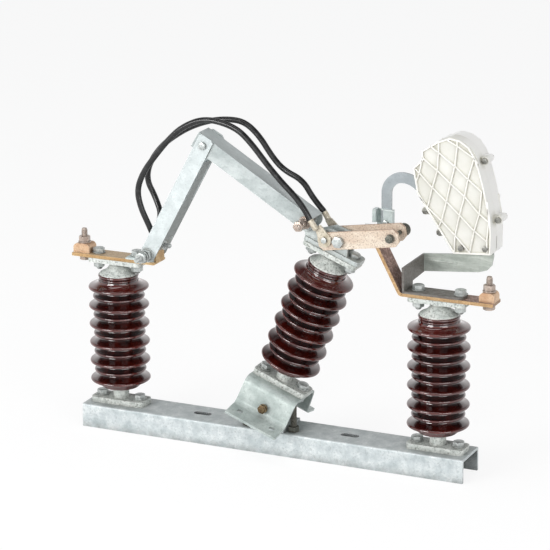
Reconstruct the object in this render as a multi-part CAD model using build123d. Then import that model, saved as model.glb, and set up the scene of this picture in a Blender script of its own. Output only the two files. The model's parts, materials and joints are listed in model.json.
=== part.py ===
from build123d import *
import os
from math import atan2, cos, degrees, hypot, radians, sin, tan

# Substation disconnect switch, millimetres. The origin is midway between the two mounting slots,
# on the top face of the base channel. +X runs along the channel towards the fixed contact, +Z is up,
# and -Y is the near side, where the long ends of the link pins stand out.

# ---- driving dimensions -------------------------------------------------------------------------
CHANNEL_LENGTH, CHANNEL_WIDTH, CHANNEL_DEPTH, CHANNEL_WALL = 770, 80, 45, 5
CHANNEL_CORNER = 4
SLOT_SPACING, SLOT_LENGTH, SLOT_WIDTH = 300, 36, 14
POST_X = 322

INSULATOR_HEIGHT = 284
FLANGE_LENGTH, FLANGE_WIDTH, FLANGE_CORNER = 110, 44, 9
BASE_FLANGE, TOP_FLANGE = 10, 8
NECK_RADIUS, DOME_RADIUS, DOME_SHOULDER = 15, 36, 17
FLANGE_BOLT_SPACING = 80
PORCELAIN_FROM, PORCELAIN_TO = 33, 252
CORE_RADIUS, LARGE_SHED, SMALL_SHED = 38, 56.8, 49
FIRST_SHED, SHED_PITCH, SHED_COUNT = 49.5, 36, 6
SHED_RIM = 2.2

PIVOT_HEIGHT = 48
CLOSED_TILT = 21.5
PEDESTAL_WALL, PEDESTAL_HALF, PEDESTAL_REACH, PEDESTAL_EYE = 5, 38, 33, 16
SADDLE_WALL, SADDLE_BEND = 5, 14
SADDLE_FROM, SADDLE_TO = -55, 52
SADDLE_TOP, SADDLE_DROP, LIP_DROP = 38, 17, 25
SADDLE_HALF_WIDTH, SADDLE_SKIRT, SADDLE_LIP = 42, 50, 89
LIP_HOLE_X, LIP_HOLE_Y, LIP_HOLE_RADIUS = 34, 70, 5.5
STOP_X, STOP_Y = 46, -20

# Heights on the fixed posts are over the terminal plate's top face.
PLATE_THICKNESS, PLATE_WIDTH = 6, 40
TAB_FACE_X, TAB_WIDTH, TAB_RISE, TAB_CUT = -233, 33, 44, 10
TAB_BOLT_RISE = 29.5
CLAMP_HEIGHT, KEEPER_HALF = 17, 14
LEFT_CLAMP_X, LEFT_CLAMP_LENGTH = -392, 34
RIGHT_CLAMP_X, RIGHT_CLAMP_LENGTH = 415.5, 28
CONTACT_FOOT, CONTACT_BEND, CONTACT_SLOPE, CONTACT_RISE = 253.5, 7, 118, 96

ANCHOR_X, ANCHOR_RISE = -247.5, 15
KNEE_X, KNEE_RISE = -130, 233
ANCHOR_WALL, ANCHOR_EYE = 3.5, 10.5
LINK_WALL, LINK_EDGE, LINK_BACK = 3, 15, 15.5
LOWER_LINK_HALF = 24
LOWER_WEB_START, LOWER_WEB_END = 42, 30
LOWER_SLOT_END = 124
KNEE_PLAY, TONGUE_PLAY, CHEEK_PLAY = 5.6, 2.2, 1.1

# Pins and bolts of the rocker are given along the carrier plate from the post's axis, and over its top face.
CARRIER_PLATE, CARRIER_LENGTH = 8, 114
ROCKER_PIN_ALONG, ROCKER_PIN_OVER = -62.67, 24.18
BLADE_BOLT_ALONG, BLADE_BOLT_OVER = 9.58, 23.3
PALM_ALONG, PALM_OVER, PALM_RADIUS = -15.27, 14.37, 13
SPRING_BOLT_ALONG, SPRING_BOLT_OVER = 96.02, 75.62
CHEEK_WALL, CHEEK_SPACER = 5, 3.4
BLADE_THICKNESS, BLADE_DEPTH = 6, 32
BLADE_RISE, BLADE_CUT = 8.8, 8
# Ends of the blade bars and place of the horn, measured from the spring bolt.
BLADE_BACK, NEAR_BLADE_REACH, FAR_BLADE_REACH = 139, 15, 10
HORN_BACK, HORN_DROP, HORN_RISE = 50.25, 10.2, 93.8
HORN_Y, HORN_WIDTH, HORN_WALL = 80, 19.5, 4.5
HORN_BEND, HORN_NOSE, HORN_TIP, HORN_TURN = 31, 47, 22, 45
HORN_SCREW_RISE = 8
HOLDER_WALL = 3

CHUTE_HALF, CHUTE_WALL, CHUTE_RIM, CHUTE_GAP = 28, 3, 3.5, 0.3
CHUTE_SLIT_HALF, CHUTE_SLIT_FROM, CHUTE_SLIT_TO = 8, 136, 204
CHUTE_BOLTS = [(342, 74), (388, 78)]
EAR_BOLTS = [(268, 131.5), (296, 94.5), (379, 234), (406, 129)]
EAR_RADIUS, EAR_DEPTH, EAR_REACH = 7, 14, 20
BRACKET_WALL, BRACKET_X, BRACKET_END, BRACKET_HALF = 4, 258.5, 372, 20
ARM_LOW, ARM_HIGH = 15, 48

CABLE_RADIUS, LUG_RADIUS, LUG_WALL = 5.5, 5.5, 3
TAB_LUG_SPREAD, TAB_LUG_LENGTH = 19, 25
TAB_PALM_RADIUS, TAB_BARREL, BLADE_BARREL = 8.5, 14, 20

PIN_CLEARANCE = 0.1
SEAT_CLEARANCE = 0.3
SLIDE_CLEARANCE = 0.5

# size: (thread radius, width across flats, head height, nut height, washer radius, washer thickness)
BOLT_SIZES = {
    6: (3, 10, 4.0, 5.2, 6.0, 1.6),
    8: (4, 13, 5.3, 6.8, 8.0, 1.6),
    10: (5, 17, 6.4, 8.4, 10.0, 2.0),
    12: (6, 19, 7.5, 10.0, 12.0, 2.5),
}

# ---- sizes that follow from them ----------------------------------------------------------------
PLATE_LOW = INSULATOR_HEIGHT
PLATE_HIGH = PLATE_LOW + PLATE_THICKNESS
TAB_BOLT_Z = PLATE_HIGH + TAB_BOLT_RISE
ANCHOR, KNEE = (ANCHOR_X, PLATE_HIGH + ANCHOR_RISE), (KNEE_X, PLATE_HIGH + KNEE_RISE)

# Across the switch, each layer fits outside or inside the one before it.
ANCHOR_HALF = LOWER_LINK_HALF - LINK_WALL - SLIDE_CLEARANCE
UPPER_LINK_HALF = LOWER_LINK_HALF - LINK_WALL - SEAT_CLEARANCE
LOWER_TONGUE_HALF = UPPER_LINK_HALF - LINK_WALL - TONGUE_PLAY
CHEEK_OUTER = UPPER_LINK_HALF - LINK_WALL - CHEEK_PLAY
BLADE_HALF = CHEEK_OUTER + CHEEK_SPACER + BLADE_THICKNESS
CARRIER_WIDTH = 2 * (BLADE_HALF - BLADE_THICKNESS - SLIDE_CLEARANCE)

CARRIER_LOW = SADDLE_TOP + INSULATOR_HEIGHT
CARRIER_HIGH = CARRIER_LOW + CARRIER_PLATE


def from_rocker(along, over):
    """A point of the rocker in the XZ plane, with the switch closed."""
    lean, rise = radians(CLOSED_TILT), CARRIER_HIGH + over
    return along * cos(lean) + rise * sin(lean), PIVOT_HEIGHT - along * sin(lean) + rise * cos(lean)


ROCKER_PIN = from_rocker(ROCKER_PIN_ALONG, ROCKER_PIN_OVER)
BLADE_BOLT = from_rocker(BLADE_BOLT_ALONG, BLADE_BOLT_OVER)
PALM_BOLT = from_rocker(PALM_ALONG, PALM_OVER)
SPRING_BOLT = from_rocker(SPRING_BOLT_ALONG, SPRING_BOLT_OVER)
HORN_X, HORN_FOOT = SPRING_BOLT[0] - HORN_BACK, SPRING_BOLT[1] - HORN_DROP
HORN_SCREW = (HORN_X, HORN_FOOT + HORN_SCREW_RISE)


# ---- small helpers ------------------------------------------------------------------------------
def block(x, y, z):
    """A box between two corners, each axis given as (low, high)."""
    size = [span[1] - span[0] for span in (x, y, z)]
    middle = [(span[0] + span[1]) / 2 for span in (x, y, z)]
    return Pos(*middle) * Box(*size)


def stand(axis, centre, start, direction=1):
    """The location that carries +Z onto an axis, from start on it."""
    turn = 1 if direction > 0 else -1
    if axis == "x":
        return Location((start, centre[0], centre[1]), (0, 90 * turn, 0))
    if axis == "y":
        return Location((centre[0], start, centre[1]), (-90 * turn, 0, 0))
    return Location((centre[0], centre[1], start), (0, 0 if turn > 0 else 180, 0))


def rod(axis, centre, radius, start, end):
    """A round bar along one axis, from start to end."""
    place = stand(axis, centre, start, 1 if end > start else -1)
    return place * Cylinder(radius, abs(end - start), align=(Align.CENTER, Align.CENTER, Align.MIN))


def hexagon(axis, centre, flats, start, end, turn=0):
    """A hexagonal bar along one axis, from start to end, its corners trimmed round."""
    length = abs(end - start)
    bar = extrude(Rot(0, 0, turn) * RegularPolygon(flats / 2, 6, major_radius=False), length)
    bar = bar & Cylinder(flats * 0.56, length, align=(Align.CENTER, Align.CENTER, Align.MIN))
    return stand(axis, centre, start, 1 if end > start else -1) * bar


def bolt(axis, centre, size, head_seat, nut_seat, tail=5, turn=0, washers=(True, True)):
    """A bolt clamped between two seats on one axis; washers says if the head and the nut have one."""
    radius, flats, head, nut, washer, washer_wall = BOLT_SIZES[size]
    way = 1 if nut_seat > head_seat else -1
    under_head = head_seat - way * washer_wall * washers[0]
    under_nut = nut_seat + way * washer_wall * washers[1]
    shape = rod(axis, centre, radius, under_head, under_nut + way * (nut + tail))
    shape += hexagon(axis, centre, flats, under_head, under_head - way * head, turn)
    shape += hexagon(axis, centre, flats, under_nut, under_nut + way * nut, turn)
    if washers[0]:
        shape += rod(axis, centre, washer, head_seat, under_head)
    if washers[1]:
        shape += rod(axis, centre, washer, nut_seat, under_nut)
    return shape


def stack(axis, centre, start, way, pieces):
    """Washers and nuts in a row on one pin; each piece is (kind, radius or flats, thickness)."""
    shape, at = None, start
    for kind, size, thickness in pieces:
        make = hexagon if kind == "nut" else rod
        piece = make(axis, centre, size, at, at + way * thickness)
        shape = piece if shape is None else shape + piece
        at += way * thickness
    return shape


def drill(axis, centre, radius, start, end):
    """The tool that makes a round hole, run past both faces."""
    way = 1 if end > start else -1
    return rod(axis, centre, radius, start - way, end + way)


def flat(points, wall, middle_y, corner=None):
    """A plate in the XZ plane from its corners, centred on middle_y; corner rounds all of them."""
    face = make_face(Polyline(*points, close=True))
    if corner:
        face = fillet(face.vertices(), corner)
    return Pos(0, middle_y, 0) * Rot(90, 0, 0) * extrude(face, wall / 2, both=True)


def strip(line, half):
    """The outline of a strip whose middle follows a line and whose ends are square to it."""
    cuts = []
    for at, way in ((0, -1), (1, 1)):
        place = Location(Plane(origin=line @ at, x_dir=(line % at) * way, z_dir=(0, 0, 1)))
        cuts.append(place * Pos(half * 2, 0) * Rectangle(half * 4, half * 4))
    return make_face(offset(line, half, kind=Kind.INTERSECTION)) - cuts


def in_xz(face, low, high):
    """Extrudes an outline drawn in XY, taken as XZ, between two values of Y."""
    return Pos(0, high, 0) * Rot(90, 0, 0) * extrude(face, high - low)


def both_sides(make):
    """The near and the far copy of a piece that is made for one side."""
    return make(-1), make(1)


def on_rocker(shape):
    """Places a piece from the rocker's own frame, whose origin is the pivot and whose Z is its post."""
    return Location((0, 0, PIVOT_HEIGHT), (0, CLOSED_TILT, 0)) * shape


def on_plate(shape):
    """Places a piece whose heights are over the terminal plate's top face."""
    return Pos(0, 0, PLATE_HIGH) * shape


def on_link(start, end, shape):
    """Places a piece whose X runs from one pin to another, and whose Z is the left of that way."""
    angle = degrees(atan2(end[1] - start[1], end[0] - start[0]))
    return Location((start[0], 0, start[1]), (0, -angle, 0)) * shape


def span_of(start, end):
    return hypot(end[0] - start[0], end[1] - start[1])


def joined(pieces):
    """Several separate solids as one node."""
    return Compound([solid for piece in pieces for solid in piece.solids()])


def round_bar(start, end, radius):
    """A round bar between two points in space."""
    path = Vector(*end) - Vector(*start)
    return Plane(origin=Vector(*start), z_dir=path) * Cylinder(
        radius, path.length, align=(Align.CENTER, Align.CENTER, Align.MIN))


# ---- base channel -------------------------------------------------------------------------------
def base_channel():
    half, length = CHANNEL_WIDTH / 2, CHANNEL_LENGTH / 2
    channel = block((-length, length), (-half, half), (-CHANNEL_DEPTH, 0))
    channel = fillet(channel.edges().filter_by(Axis.X).group_by(Axis.Z)[-1], CHANNEL_CORNER)
    inside = half - CHANNEL_WALL
    channel -= block((-length - 1, length + 1), (-inside, inside), (-CHANNEL_DEPTH - 1, -CHANNEL_WALL))
    hole = BOLT_SIZES[12][0] + SLIDE_CLEARANCE
    for side in (-1, 1):
        slot = extrude(SlotOverall(SLOT_LENGTH, SLOT_WIDTH), CHANNEL_WALL * 2, both=True)
        channel -= Pos(side * SLOT_SPACING / 2, 0, 0) * slot
        channel -= drill("z", (side * STOP_X, STOP_Y), hole, -CHANNEL_WALL, 0)
        for post_x in (-POST_X, POST_X):
            channel -= drill("z", (post_x + side * FLANGE_BOLT_SPACING / 2, 0), hole, -CHANNEL_WALL, 0)
    return channel


# ---- post insulators ----------------------------------------------------------------------------
def shed_outline(height, radius):
    """One shed in (radius, height): nearly flat underside, round rim, sloping top."""
    rise = 9 if radius == LARGE_SHED else 7
    return [
        (CORE_RADIUS, height - 5),
        (radius - SHED_RIM * 2, height - SHED_RIM),
        (radius, height),
        (radius - SHED_RIM * 2, height + SHED_RIM),
        (CORE_RADIUS, height + rise),
    ]


def porcelain():
    sheds = [(FIRST_SHED + SHED_PITCH * i, LARGE_SHED) for i in range(SHED_COUNT)]
    sheds += [(FIRST_SHED + SHED_PITCH * (i + 0.5), SMALL_SHED) for i in range(SHED_COUNT - 1)]
    at = (CORE_RADIUS, PORCELAIN_FROM + 3)
    lines = [Polyline((0, PORCELAIN_FROM), (CORE_RADIUS - 4, PORCELAIN_FROM), at)]
    for height, radius in sorted(sheds):
        root_low, rim_low, rim, rim_high, root_high = shed_outline(height, radius)
        lines.append(Polyline(at, root_low, rim_low))
        lines.append(ThreePointArc(rim_low, rim, rim_high))
        lines.append(Line(rim_high, root_high))
        at = root_high
    collar = CORE_RADIUS - 1
    lines.append(Polyline(at, (collar - 3, at[1] + 2), (collar - 3, at[1] + 5), (collar, at[1] + 6),
                          (collar, PORCELAIN_TO), (0, PORCELAIN_TO), (0, PORCELAIN_FROM)))
    return revolve(Plane.XZ * make_face(Curve() + lines), Axis.Z)


def flange_bar(low, high):
    bar = Pos(0, 0, low) * extrude(RectangleRounded(FLANGE_LENGTH, FLANGE_WIDTH, FLANGE_CORNER), high - low)
    for side in (-1, 1):
        centre = (side * FLANGE_BOLT_SPACING / 2, 0)
        bar -= drill("z", centre, BOLT_SIZES[12][0] + SLIDE_CLEARANCE, low, high)
    return bar


def end_fittings():
    """The iron fittings at both ends of the porcelain, each a flange bar on a round neck."""
    foot = flange_bar(0, BASE_FLANGE) + rod("z", (0, 0), NECK_RADIUS, BASE_FLANGE, PORCELAIN_FROM)
    seat = INSULATOR_HEIGHT - TOP_FLANGE
    outline = Polyline(
        (0, PORCELAIN_TO), (DOME_RADIUS, PORCELAIN_TO), (DOME_RADIUS - 1, PORCELAIN_TO + 4),
        (FLANGE_BOLT_SPACING / 2 - DOME_SHOULDER, PORCELAIN_TO + 10), (NECK_RADIUS, PORCELAIN_TO + 15),
        (NECK_RADIUS, seat), (0, seat), close=True,
    )
    cap = flange_bar(seat, INSULATOR_HEIGHT) + revolve(Plane.XZ * make_face(outline), Axis.Z)
    return joined([foot, cap])


def pair_of_bolts(centre_x, low_seat, high_seats, washers=(True, True)):
    """The two M12 bolts of a flange bar, heads up; high_seats are the left and the right one."""
    return joined([
        bolt("z", (centre_x + side * FLANGE_BOLT_SPACING / 2, 0), 12, high_seat, low_seat, washers=washers)
        for side, high_seat in zip((-1, 1), high_seats)
    ])


# ---- pedestal, stops and saddle: what the rocker turns in ---------------------------------------
def leg_at(height):
    """Distance from the middle to the saddle leg's centre line at a height over the pivot."""
    top = SADDLE_TOP - SADDLE_WALL / 2
    share = (top - height) / (top + SADDLE_DROP)
    return SADDLE_HALF_WIDTH + (SADDLE_SKIRT - SADDLE_HALF_WIDTH) * share


def pivot_pedestal():
    pedestal = block((-PEDESTAL_REACH, PEDESTAL_REACH), (-PEDESTAL_HALF, PEDESTAL_HALF), (0, PEDESTAL_WALL))
    boss_end = leg_at(BOLT_SIZES[12][4]) - SADDLE_WALL / 2 - 2 * SEAT_CLEARANCE
    for side in (-1, 1):
        outline = [(-PEDESTAL_REACH + 7, 0), (PEDESTAL_REACH - 7, 0), (PEDESTAL_EYE, PIVOT_HEIGHT),
                   (-PEDESTAL_EYE, PIVOT_HEIGHT)]
        pedestal += flat(outline, PEDESTAL_WALL, side * (PEDESTAL_HALF - PEDESTAL_WALL / 2))
        pedestal += rod("y", (0, PIVOT_HEIGHT), PEDESTAL_EYE, side * (PEDESTAL_HALF - PEDESTAL_WALL),
                        side * PEDESTAL_HALF)
        pedestal += rod("y", (0, PIVOT_HEIGHT), BOLT_SIZES[12][4], side * PEDESTAL_HALF, side * boss_end)
    return pedestal - drill("y", (0, PIVOT_HEIGHT), BOLT_SIZES[12][0] + PIN_CLEARANCE, -60, 60)


def stop_bolts():
    """Two studs whose round tips meet the saddle's underside, one at each end of its swing."""
    radius, flats, _, nut, _, _ = BOLT_SIZES[12]
    lean = radians(CLOSED_TILT)
    depth = SADDLE_TOP - SADDLE_WALL - radius - SEAT_CLEARANCE
    tip = PIVOT_HEIGHT + (depth - STOP_X * sin(lean)) / cos(lean)
    studs = []
    for side in (-1, 1):
        centre = (side * STOP_X, STOP_Y)
        stud = rod("z", centre, radius, -CHANNEL_WALL - nut - 4, tip) + Pos(*centre, tip) * Sphere(radius)
        stud += hexagon("z", centre, flats, 0, nut)
        stud += hexagon("z", centre, flats, -CHANNEL_WALL, -CHANNEL_WALL - nut)
        studs.append(stud)
    return joined(studs)


def pivot_bolt():
    """Its head and nut stand off the slanted legs, clear of the bend below them."""
    seat = leg_at(0) + SADDLE_WALL / 2 + 2.8
    return bolt("y", (0, PIVOT_HEIGHT), 12, -seat, seat, washers=(False, False))


def rocker_saddle():
    top = SADDLE_TOP - SADDLE_WALL / 2
    line = FilletPolyline((-SADDLE_LIP, -LIP_DROP), (-SADDLE_SKIRT, -SADDLE_DROP), (-SADDLE_HALF_WIDTH, top),
                          (SADDLE_HALF_WIDTH, top), (SADDLE_SKIRT, -SADDLE_DROP), (SADDLE_LIP, -LIP_DROP),
                          radius=SADDLE_BEND)
    section = strip(line, SADDLE_WALL / 2)
    saddle = Pos(SADDLE_FROM, 0, 0) * extrude(Plane.YZ * section, SADDLE_TO - SADDLE_FROM)
    saddle -= rod("y", (0, 0), BOLT_SIZES[12][0] + PIN_CLEARANCE, -SADDLE_LIP, SADDLE_LIP)
    for side in (-1, 1):
        centre = (side * FLANGE_BOLT_SPACING / 2, 0)
        hole = BOLT_SIZES[12][0] + SLIDE_CLEARANCE
        saddle -= drill("z", centre, hole, SADDLE_TOP - SADDLE_WALL, SADDLE_TOP)
        low, high = -LIP_DROP - SADDLE_WALL, -SADDLE_DROP + SADDLE_WALL
        for end in (-1, 1):
            saddle -= drill("z", (end * LIP_HOLE_X, side * LIP_HOLE_Y), LIP_HOLE_RADIUS, low, high)
    return saddle


# ---- terminals ----------------------------------------------------------------------------------
def plate_holes(plate, post_x, clamp_x):
    hole = BOLT_SIZES[12][0] + SLIDE_CLEARANCE
    for x in (post_x - FLANGE_BOLT_SPACING / 2, post_x + FLANGE_BOLT_SPACING / 2, clamp_x):
        plate -= drill("z", (x, 0), hole, PLATE_LOW, PLATE_HIGH)
    return plate


def left_terminal_plate():
    half, tab, top = PLATE_WIDTH / 2, TAB_WIDTH / 2, PLATE_HIGH + TAB_RISE
    end = LEFT_CLAMP_X - LEFT_CLAMP_LENGTH / 2
    bar = block((end, TAB_FACE_X), (-half, half), (PLATE_LOW, PLATE_HIGH))
    outline = Polyline((-tab, PLATE_LOW), (tab, PLATE_LOW), (tab, top - TAB_CUT), (tab - TAB_CUT, top),
                       (TAB_CUT - tab, top), (-tab, top - TAB_CUT), close=True)
    plate = bar + Pos(TAB_FACE_X - PLATE_THICKNESS, 0, 0) * extrude(Plane.YZ * make_face(outline),
                                                                    PLATE_THICKNESS)
    corner = plate.edges().filter_by(Axis.Y).group_by(Axis.Z)[0].sort_by(Axis.X)[-1]
    plate = fillet(corner, PLATE_THICKNESS - 1)
    plate -= drill("x", (0, TAB_BOLT_Z), BOLT_SIZES[10][0] + SLIDE_CLEARANCE, TAB_FACE_X - PLATE_THICKNESS,
                   TAB_FACE_X)
    return plate_holes(plate, -POST_X, LEFT_CLAMP_X)


def conductor_keeper(centre_x, length):
    """The block that the stud presses on a conductor's lug, with rounded ends."""
    body = block((centre_x - length / 2, centre_x + length / 2), (-KEEPER_HALF, KEEPER_HALF),
                 (PLATE_HIGH, PLATE_HIGH + CLAMP_HEIGHT))
    body = fillet(body.edges().filter_by(Axis.Y).group_by(Axis.Z)[-1], CLAMP_HEIGHT / 2)
    hole = BOLT_SIZES[12][0] + PIN_CLEARANCE
    return body - drill("z", (centre_x, 0), hole, PLATE_HIGH, PLATE_HIGH + CLAMP_HEIGHT)


def clamp_stud(centre_x):
    """Head under the plate, nut and a long free thread on top."""
    return bolt("z", (centre_x, 0), 12, PLATE_LOW, PLATE_HIGH + CLAMP_HEIGHT, tail=15)


def right_terminal_contact():
    """Copper strip: flat over the post, then bent up to stand between the blade bars."""
    half = PLATE_THICKNESS / 2
    middle, top = PLATE_LOW + half, PLATE_HIGH + CONTACT_RISE
    run = (top - middle) / tan(radians(180 - CONTACT_SLOPE))
    line = FilletPolyline((RIGHT_CLAMP_X + RIGHT_CLAMP_LENGTH / 2, middle), (CONTACT_FOOT, middle),
                          (CONTACT_FOOT - run, top), radius=CONTACT_BEND)
    section = strip(line, half)
    reach = BLADE_HALF - BLADE_THICKNESS - SEAT_CLEARANCE
    return plate_holes(in_xz(section, -reach, reach), POST_X, RIGHT_CLAMP_X)


# ---- the folding links --------------------------------------------------------------------------
def link_anchor():
    """Folded bracket under the post's inner bolt, with two ears that hold the lower link's pin."""
    bolt_x = -POST_X + FLANGE_BOLT_SPACING / 2
    top = PLATE_HIGH + ANCHOR_WALL
    anchor = block((bolt_x - 13, ANCHOR_X), (-ANCHOR_HALF, ANCHOR_HALF), (PLATE_HIGH, top))
    for side in (-1, 1):
        outline = [(ANCHOR_X - ANCHOR_EYE, PLATE_HIGH), (ANCHOR_X + ANCHOR_EYE, PLATE_HIGH),
                   (ANCHOR_X + ANCHOR_EYE, ANCHOR[1]), (ANCHOR_X - ANCHOR_EYE, ANCHOR[1])]
        middle = side * (ANCHOR_HALF - ANCHOR_WALL / 2)
        anchor += flat(outline, ANCHOR_WALL, middle)
        anchor += rod("y", ANCHOR, ANCHOR_EYE, side * (ANCHOR_HALF - ANCHOR_WALL), side * ANCHOR_HALF)
    anchor -= drill("z", (bolt_x, 0), BOLT_SIZES[12][0] + SLIDE_CLEARANCE, PLATE_HIGH, top)
    return anchor - drill("y", ANCHOR, BOLT_SIZES[10][0] + PIN_CLEARANCE, -ANCHOR_HALF, ANCHOR_HALF)


def anchor_pin():
    """The lower link's pin: washers, nut and lock nut on the near side, a nut on the far side."""
    radius, flats, _, nut, washer, wall = BOLT_SIZES[10]
    seat = LOWER_LINK_HALF + SEAT_CLEARANCE
    near = [("washer", washer + 2, wall), ("washer", washer, wall), ("nut", flats, nut),
            ("washer", washer - 2, wall), ("nut", flats - 1, nut)]
    pin = rod("y", ANCHOR, radius, -seat - 32, seat + 14)
    pin += stack("y", ANCHOR, -seat, -1, near)
    return pin + stack("y", ANCHOR, seat, 1, [("washer", washer, wall), ("nut", flats, nut)])


def lower_link():
    """Channel from the anchor to the knee. Its back faces down, and slots let the upper link fold in."""
    length = span_of(ANCHOR, KNEE)
    inner = LOWER_LINK_HALF - LINK_WALL
    top = length + 18
    link = None
    for side in (-1, 1):
        outline = [(0, LINK_EDGE), (0, -LINK_BACK), (top - 4, -LINK_BACK), (top, -LINK_BACK + 6),
                   (top, LINK_EDGE - 4), (top - 4, LINK_EDGE)]
        middle = side * (LOWER_LINK_HALF - LINK_WALL / 2)
        plate = flat(outline, LINK_WALL, middle)
        plate += rod("y", (0, 0), LINK_EDGE, side * inner, side * LOWER_LINK_HALF)
        link = plate if link is None else link + plate
    back = (-LINK_BACK, LINK_WALL - LINK_BACK)
    link += block((LOWER_WEB_START, length - LOWER_SLOT_END), (-inner, inner), back)
    link += block((LOWER_WEB_START, length - LOWER_WEB_END), (-LOWER_TONGUE_HALF, LOWER_TONGUE_HALF), back)
    link -= drill("y", (0, 0), BOLT_SIZES[10][0] + PIN_CLEARANCE, -60, 60)
    link -= drill("y", (length, 0), BOLT_SIZES[8][0] + PIN_CLEARANCE, -60, 60)
    return on_link(ANCHOR, KNEE, link)


def upper_link():
    """Channel from the knee to the rocker's pin, back upwards. Its knee holes are wide: see knee_bolt."""
    length = span_of(KNEE, ROCKER_PIN)
    inner = UPPER_LINK_HALF - LINK_WALL
    start, eye = -20, LINK_BACK + 0.5
    back = (LINK_BACK - LINK_WALL, LINK_BACK)
    link = block((start, length + 8), (-UPPER_LINK_HALF, UPPER_LINK_HALF), back)
    for side in (-1, 1):
        outline = [(start, LINK_BACK), (start, -eye), (length, -eye), (length, LINK_BACK)]
        link += flat(outline, LINK_WALL, side * (UPPER_LINK_HALF - LINK_WALL / 2))
        link += rod("y", (length, 0), eye, side * inner, side * UPPER_LINK_HALF)
    link -= drill("y", (0, 0), BOLT_SIZES[8][0] + KNEE_PLAY, -60, 60)
    link -= drill("y", (length, 0), BOLT_SIZES[10][0] + PIN_CLEARANCE, -60, 60)
    return on_link(KNEE, ROCKER_PIN, link)


def knee_bolt():
    return bolt("y", KNEE, 8, -LOWER_LINK_HALF, LOWER_LINK_HALF, washers=(False, True))


def rocker_pin():
    """The upper link's pin in the carrier's cheeks, with a long row of nuts on the near side."""
    radius, flats, _, nut, washer, wall = BOLT_SIZES[10]
    seat = UPPER_LINK_HALF + SEAT_CLEARANCE
    near = 2 * [("washer", washer - 1, wall), ("nut", flats, nut)]
    near += [("washer", washer - 2, wall), ("nut", flats - 3, nut)]
    pin = rod("y", ROCKER_PIN, radius, -seat - 39, seat + 11)
    pin += stack("y", ROCKER_PIN, -seat, -1, near)
    return pin + stack("y", ROCKER_PIN, seat, 1, [("nut", flats - 1, nut)])


# ---- what the rocker's post carries -------------------------------------------------------------
def blade_carrier():
    """Plate on the post's top flange with two cheeks, which hold the link's pin and the blade bars."""
    carrier = extrude(RectangleRounded(CARRIER_LENGTH, CARRIER_WIDTH, FLANGE_CORNER), CARRIER_PLATE)
    carrier = Pos(0, 0, CARRIER_LOW) * carrier
    for side in (-1, 1):
        centre = (side * FLANGE_BOLT_SPACING / 2, 0)
        carrier -= drill("z", centre, BOLT_SIZES[12][0] + SLIDE_CLEARANCE, CARRIER_LOW, CARRIER_HIGH)
    pin = (ROCKER_PIN_ALONG, CARRIER_HIGH + ROCKER_PIN_OVER)
    bolt_at = (BLADE_BOLT_ALONG, CARRIER_HIGH + BLADE_BOLT_OVER)
    palm = (PALM_ALONG, CARRIER_HIGH + PALM_OVER)
    eye = BOLT_SIZES[10][0] + 3
    shoulder = pin[1] - eye
    spacer_end = BLADE_HALF - BLADE_THICKNESS
    for side in (-1, 1):
        outline = [(pin[0] - eye, pin[1]), (2 - CARRIER_LENGTH / 2, CARRIER_HIGH - 1), (32, CARRIER_HIGH - 1),
                   (bolt_at[0] + 13, bolt_at[1] + 4), (bolt_at[0] + 5, bolt_at[1] + 12),
                   (palm[0] - 2, bolt_at[1] + 10), (pin[0] + 24, shoulder), (pin[0] + eye, shoulder),
                   (pin[0] + eye, pin[1])]
        carrier += flat(outline, CHEEK_WALL, side * (CHEEK_OUTER - CHEEK_WALL / 2))
        carrier += rod("y", pin, eye, side * (CHEEK_OUTER - CHEEK_WALL), side * CHEEK_OUTER)
        for centre, radius in ((bolt_at, 11), (palm, 8)):
            carrier += rod("y", centre, radius, side * (CHEEK_OUTER - 1), side * spacer_end)
    carrier -= drill("y", pin, BOLT_SIZES[10][0] + PIN_CLEARANCE, -60, 60)
    carrier -= drill("y", bolt_at, BOLT_SIZES[12][0] + PIN_CLEARANCE, -60, 60)
    return carrier - drill("y", palm, BOLT_SIZES[6][0] + PIN_CLEARANCE, -60, 60)


def blade_bar(side):
    """A bar with clipped ends; its own X runs along it through the spring bolt."""
    reach = NEAR_BLADE_REACH if side < 0 else FAR_BLADE_REACH
    slope, half = radians(BLADE_RISE), BLADE_DEPTH / 2
    left, right = -BLADE_BACK / cos(slope), reach / cos(slope)
    outline = [(left, half), (left, BLADE_CUT - half), (left + BLADE_CUT, -half), (right - BLADE_CUT, -half),
               (right, BLADE_CUT - half), (right, half - BLADE_CUT), (right - BLADE_CUT, half)]
    bar = flat(outline, BLADE_THICKNESS, side * (BLADE_HALF - BLADE_THICKNESS / 2))
    bar = Location((SPRING_BOLT[0], 0, SPRING_BOLT[1]), (0, -BLADE_RISE, 0)) * bar
    for centre, size in ((BLADE_BOLT, 12), (PALM_BOLT, 6), (SPRING_BOLT, 8)):
        bar -= drill("y", centre, BOLT_SIZES[size][0] + PIN_CLEARANCE, -60, 60)
    return bar


def blade_bolts():
    """The big bolt through both bars, and the screw that holds the lugs' palms."""
    palm_seat = BLADE_HALF + LUG_WALL
    screw = bolt("y", PALM_BOLT, 6, -palm_seat, palm_seat, tail=2, washers=(False, False))
    return joined([bolt("y", BLADE_BOLT, 12, -BLADE_HALF, BLADE_HALF, washers=(False, True)), screw])


def contact_spring_bolt():
    """Draws the two bars together on the contact: nut and tip near, disc springs and nut far."""
    radius, flats, _, nut, washer, wall = BOLT_SIZES[8]
    pin = rod("y", SPRING_BOLT, radius, -BLADE_HALF - 12, BLADE_HALF + 34)
    pin += stack("y", SPRING_BOLT, -BLADE_HALF, -1, [("washer", washer, wall), ("nut", flats, nut)])
    springs = [("washer", washer, wall)] + 3 * [("disc", washer + 2, 4), ("disc", washer - 2, 1.5)]
    return pin + stack("y", SPRING_BOLT, BLADE_HALF, 1, springs + [("nut", flats, nut)])


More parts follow.
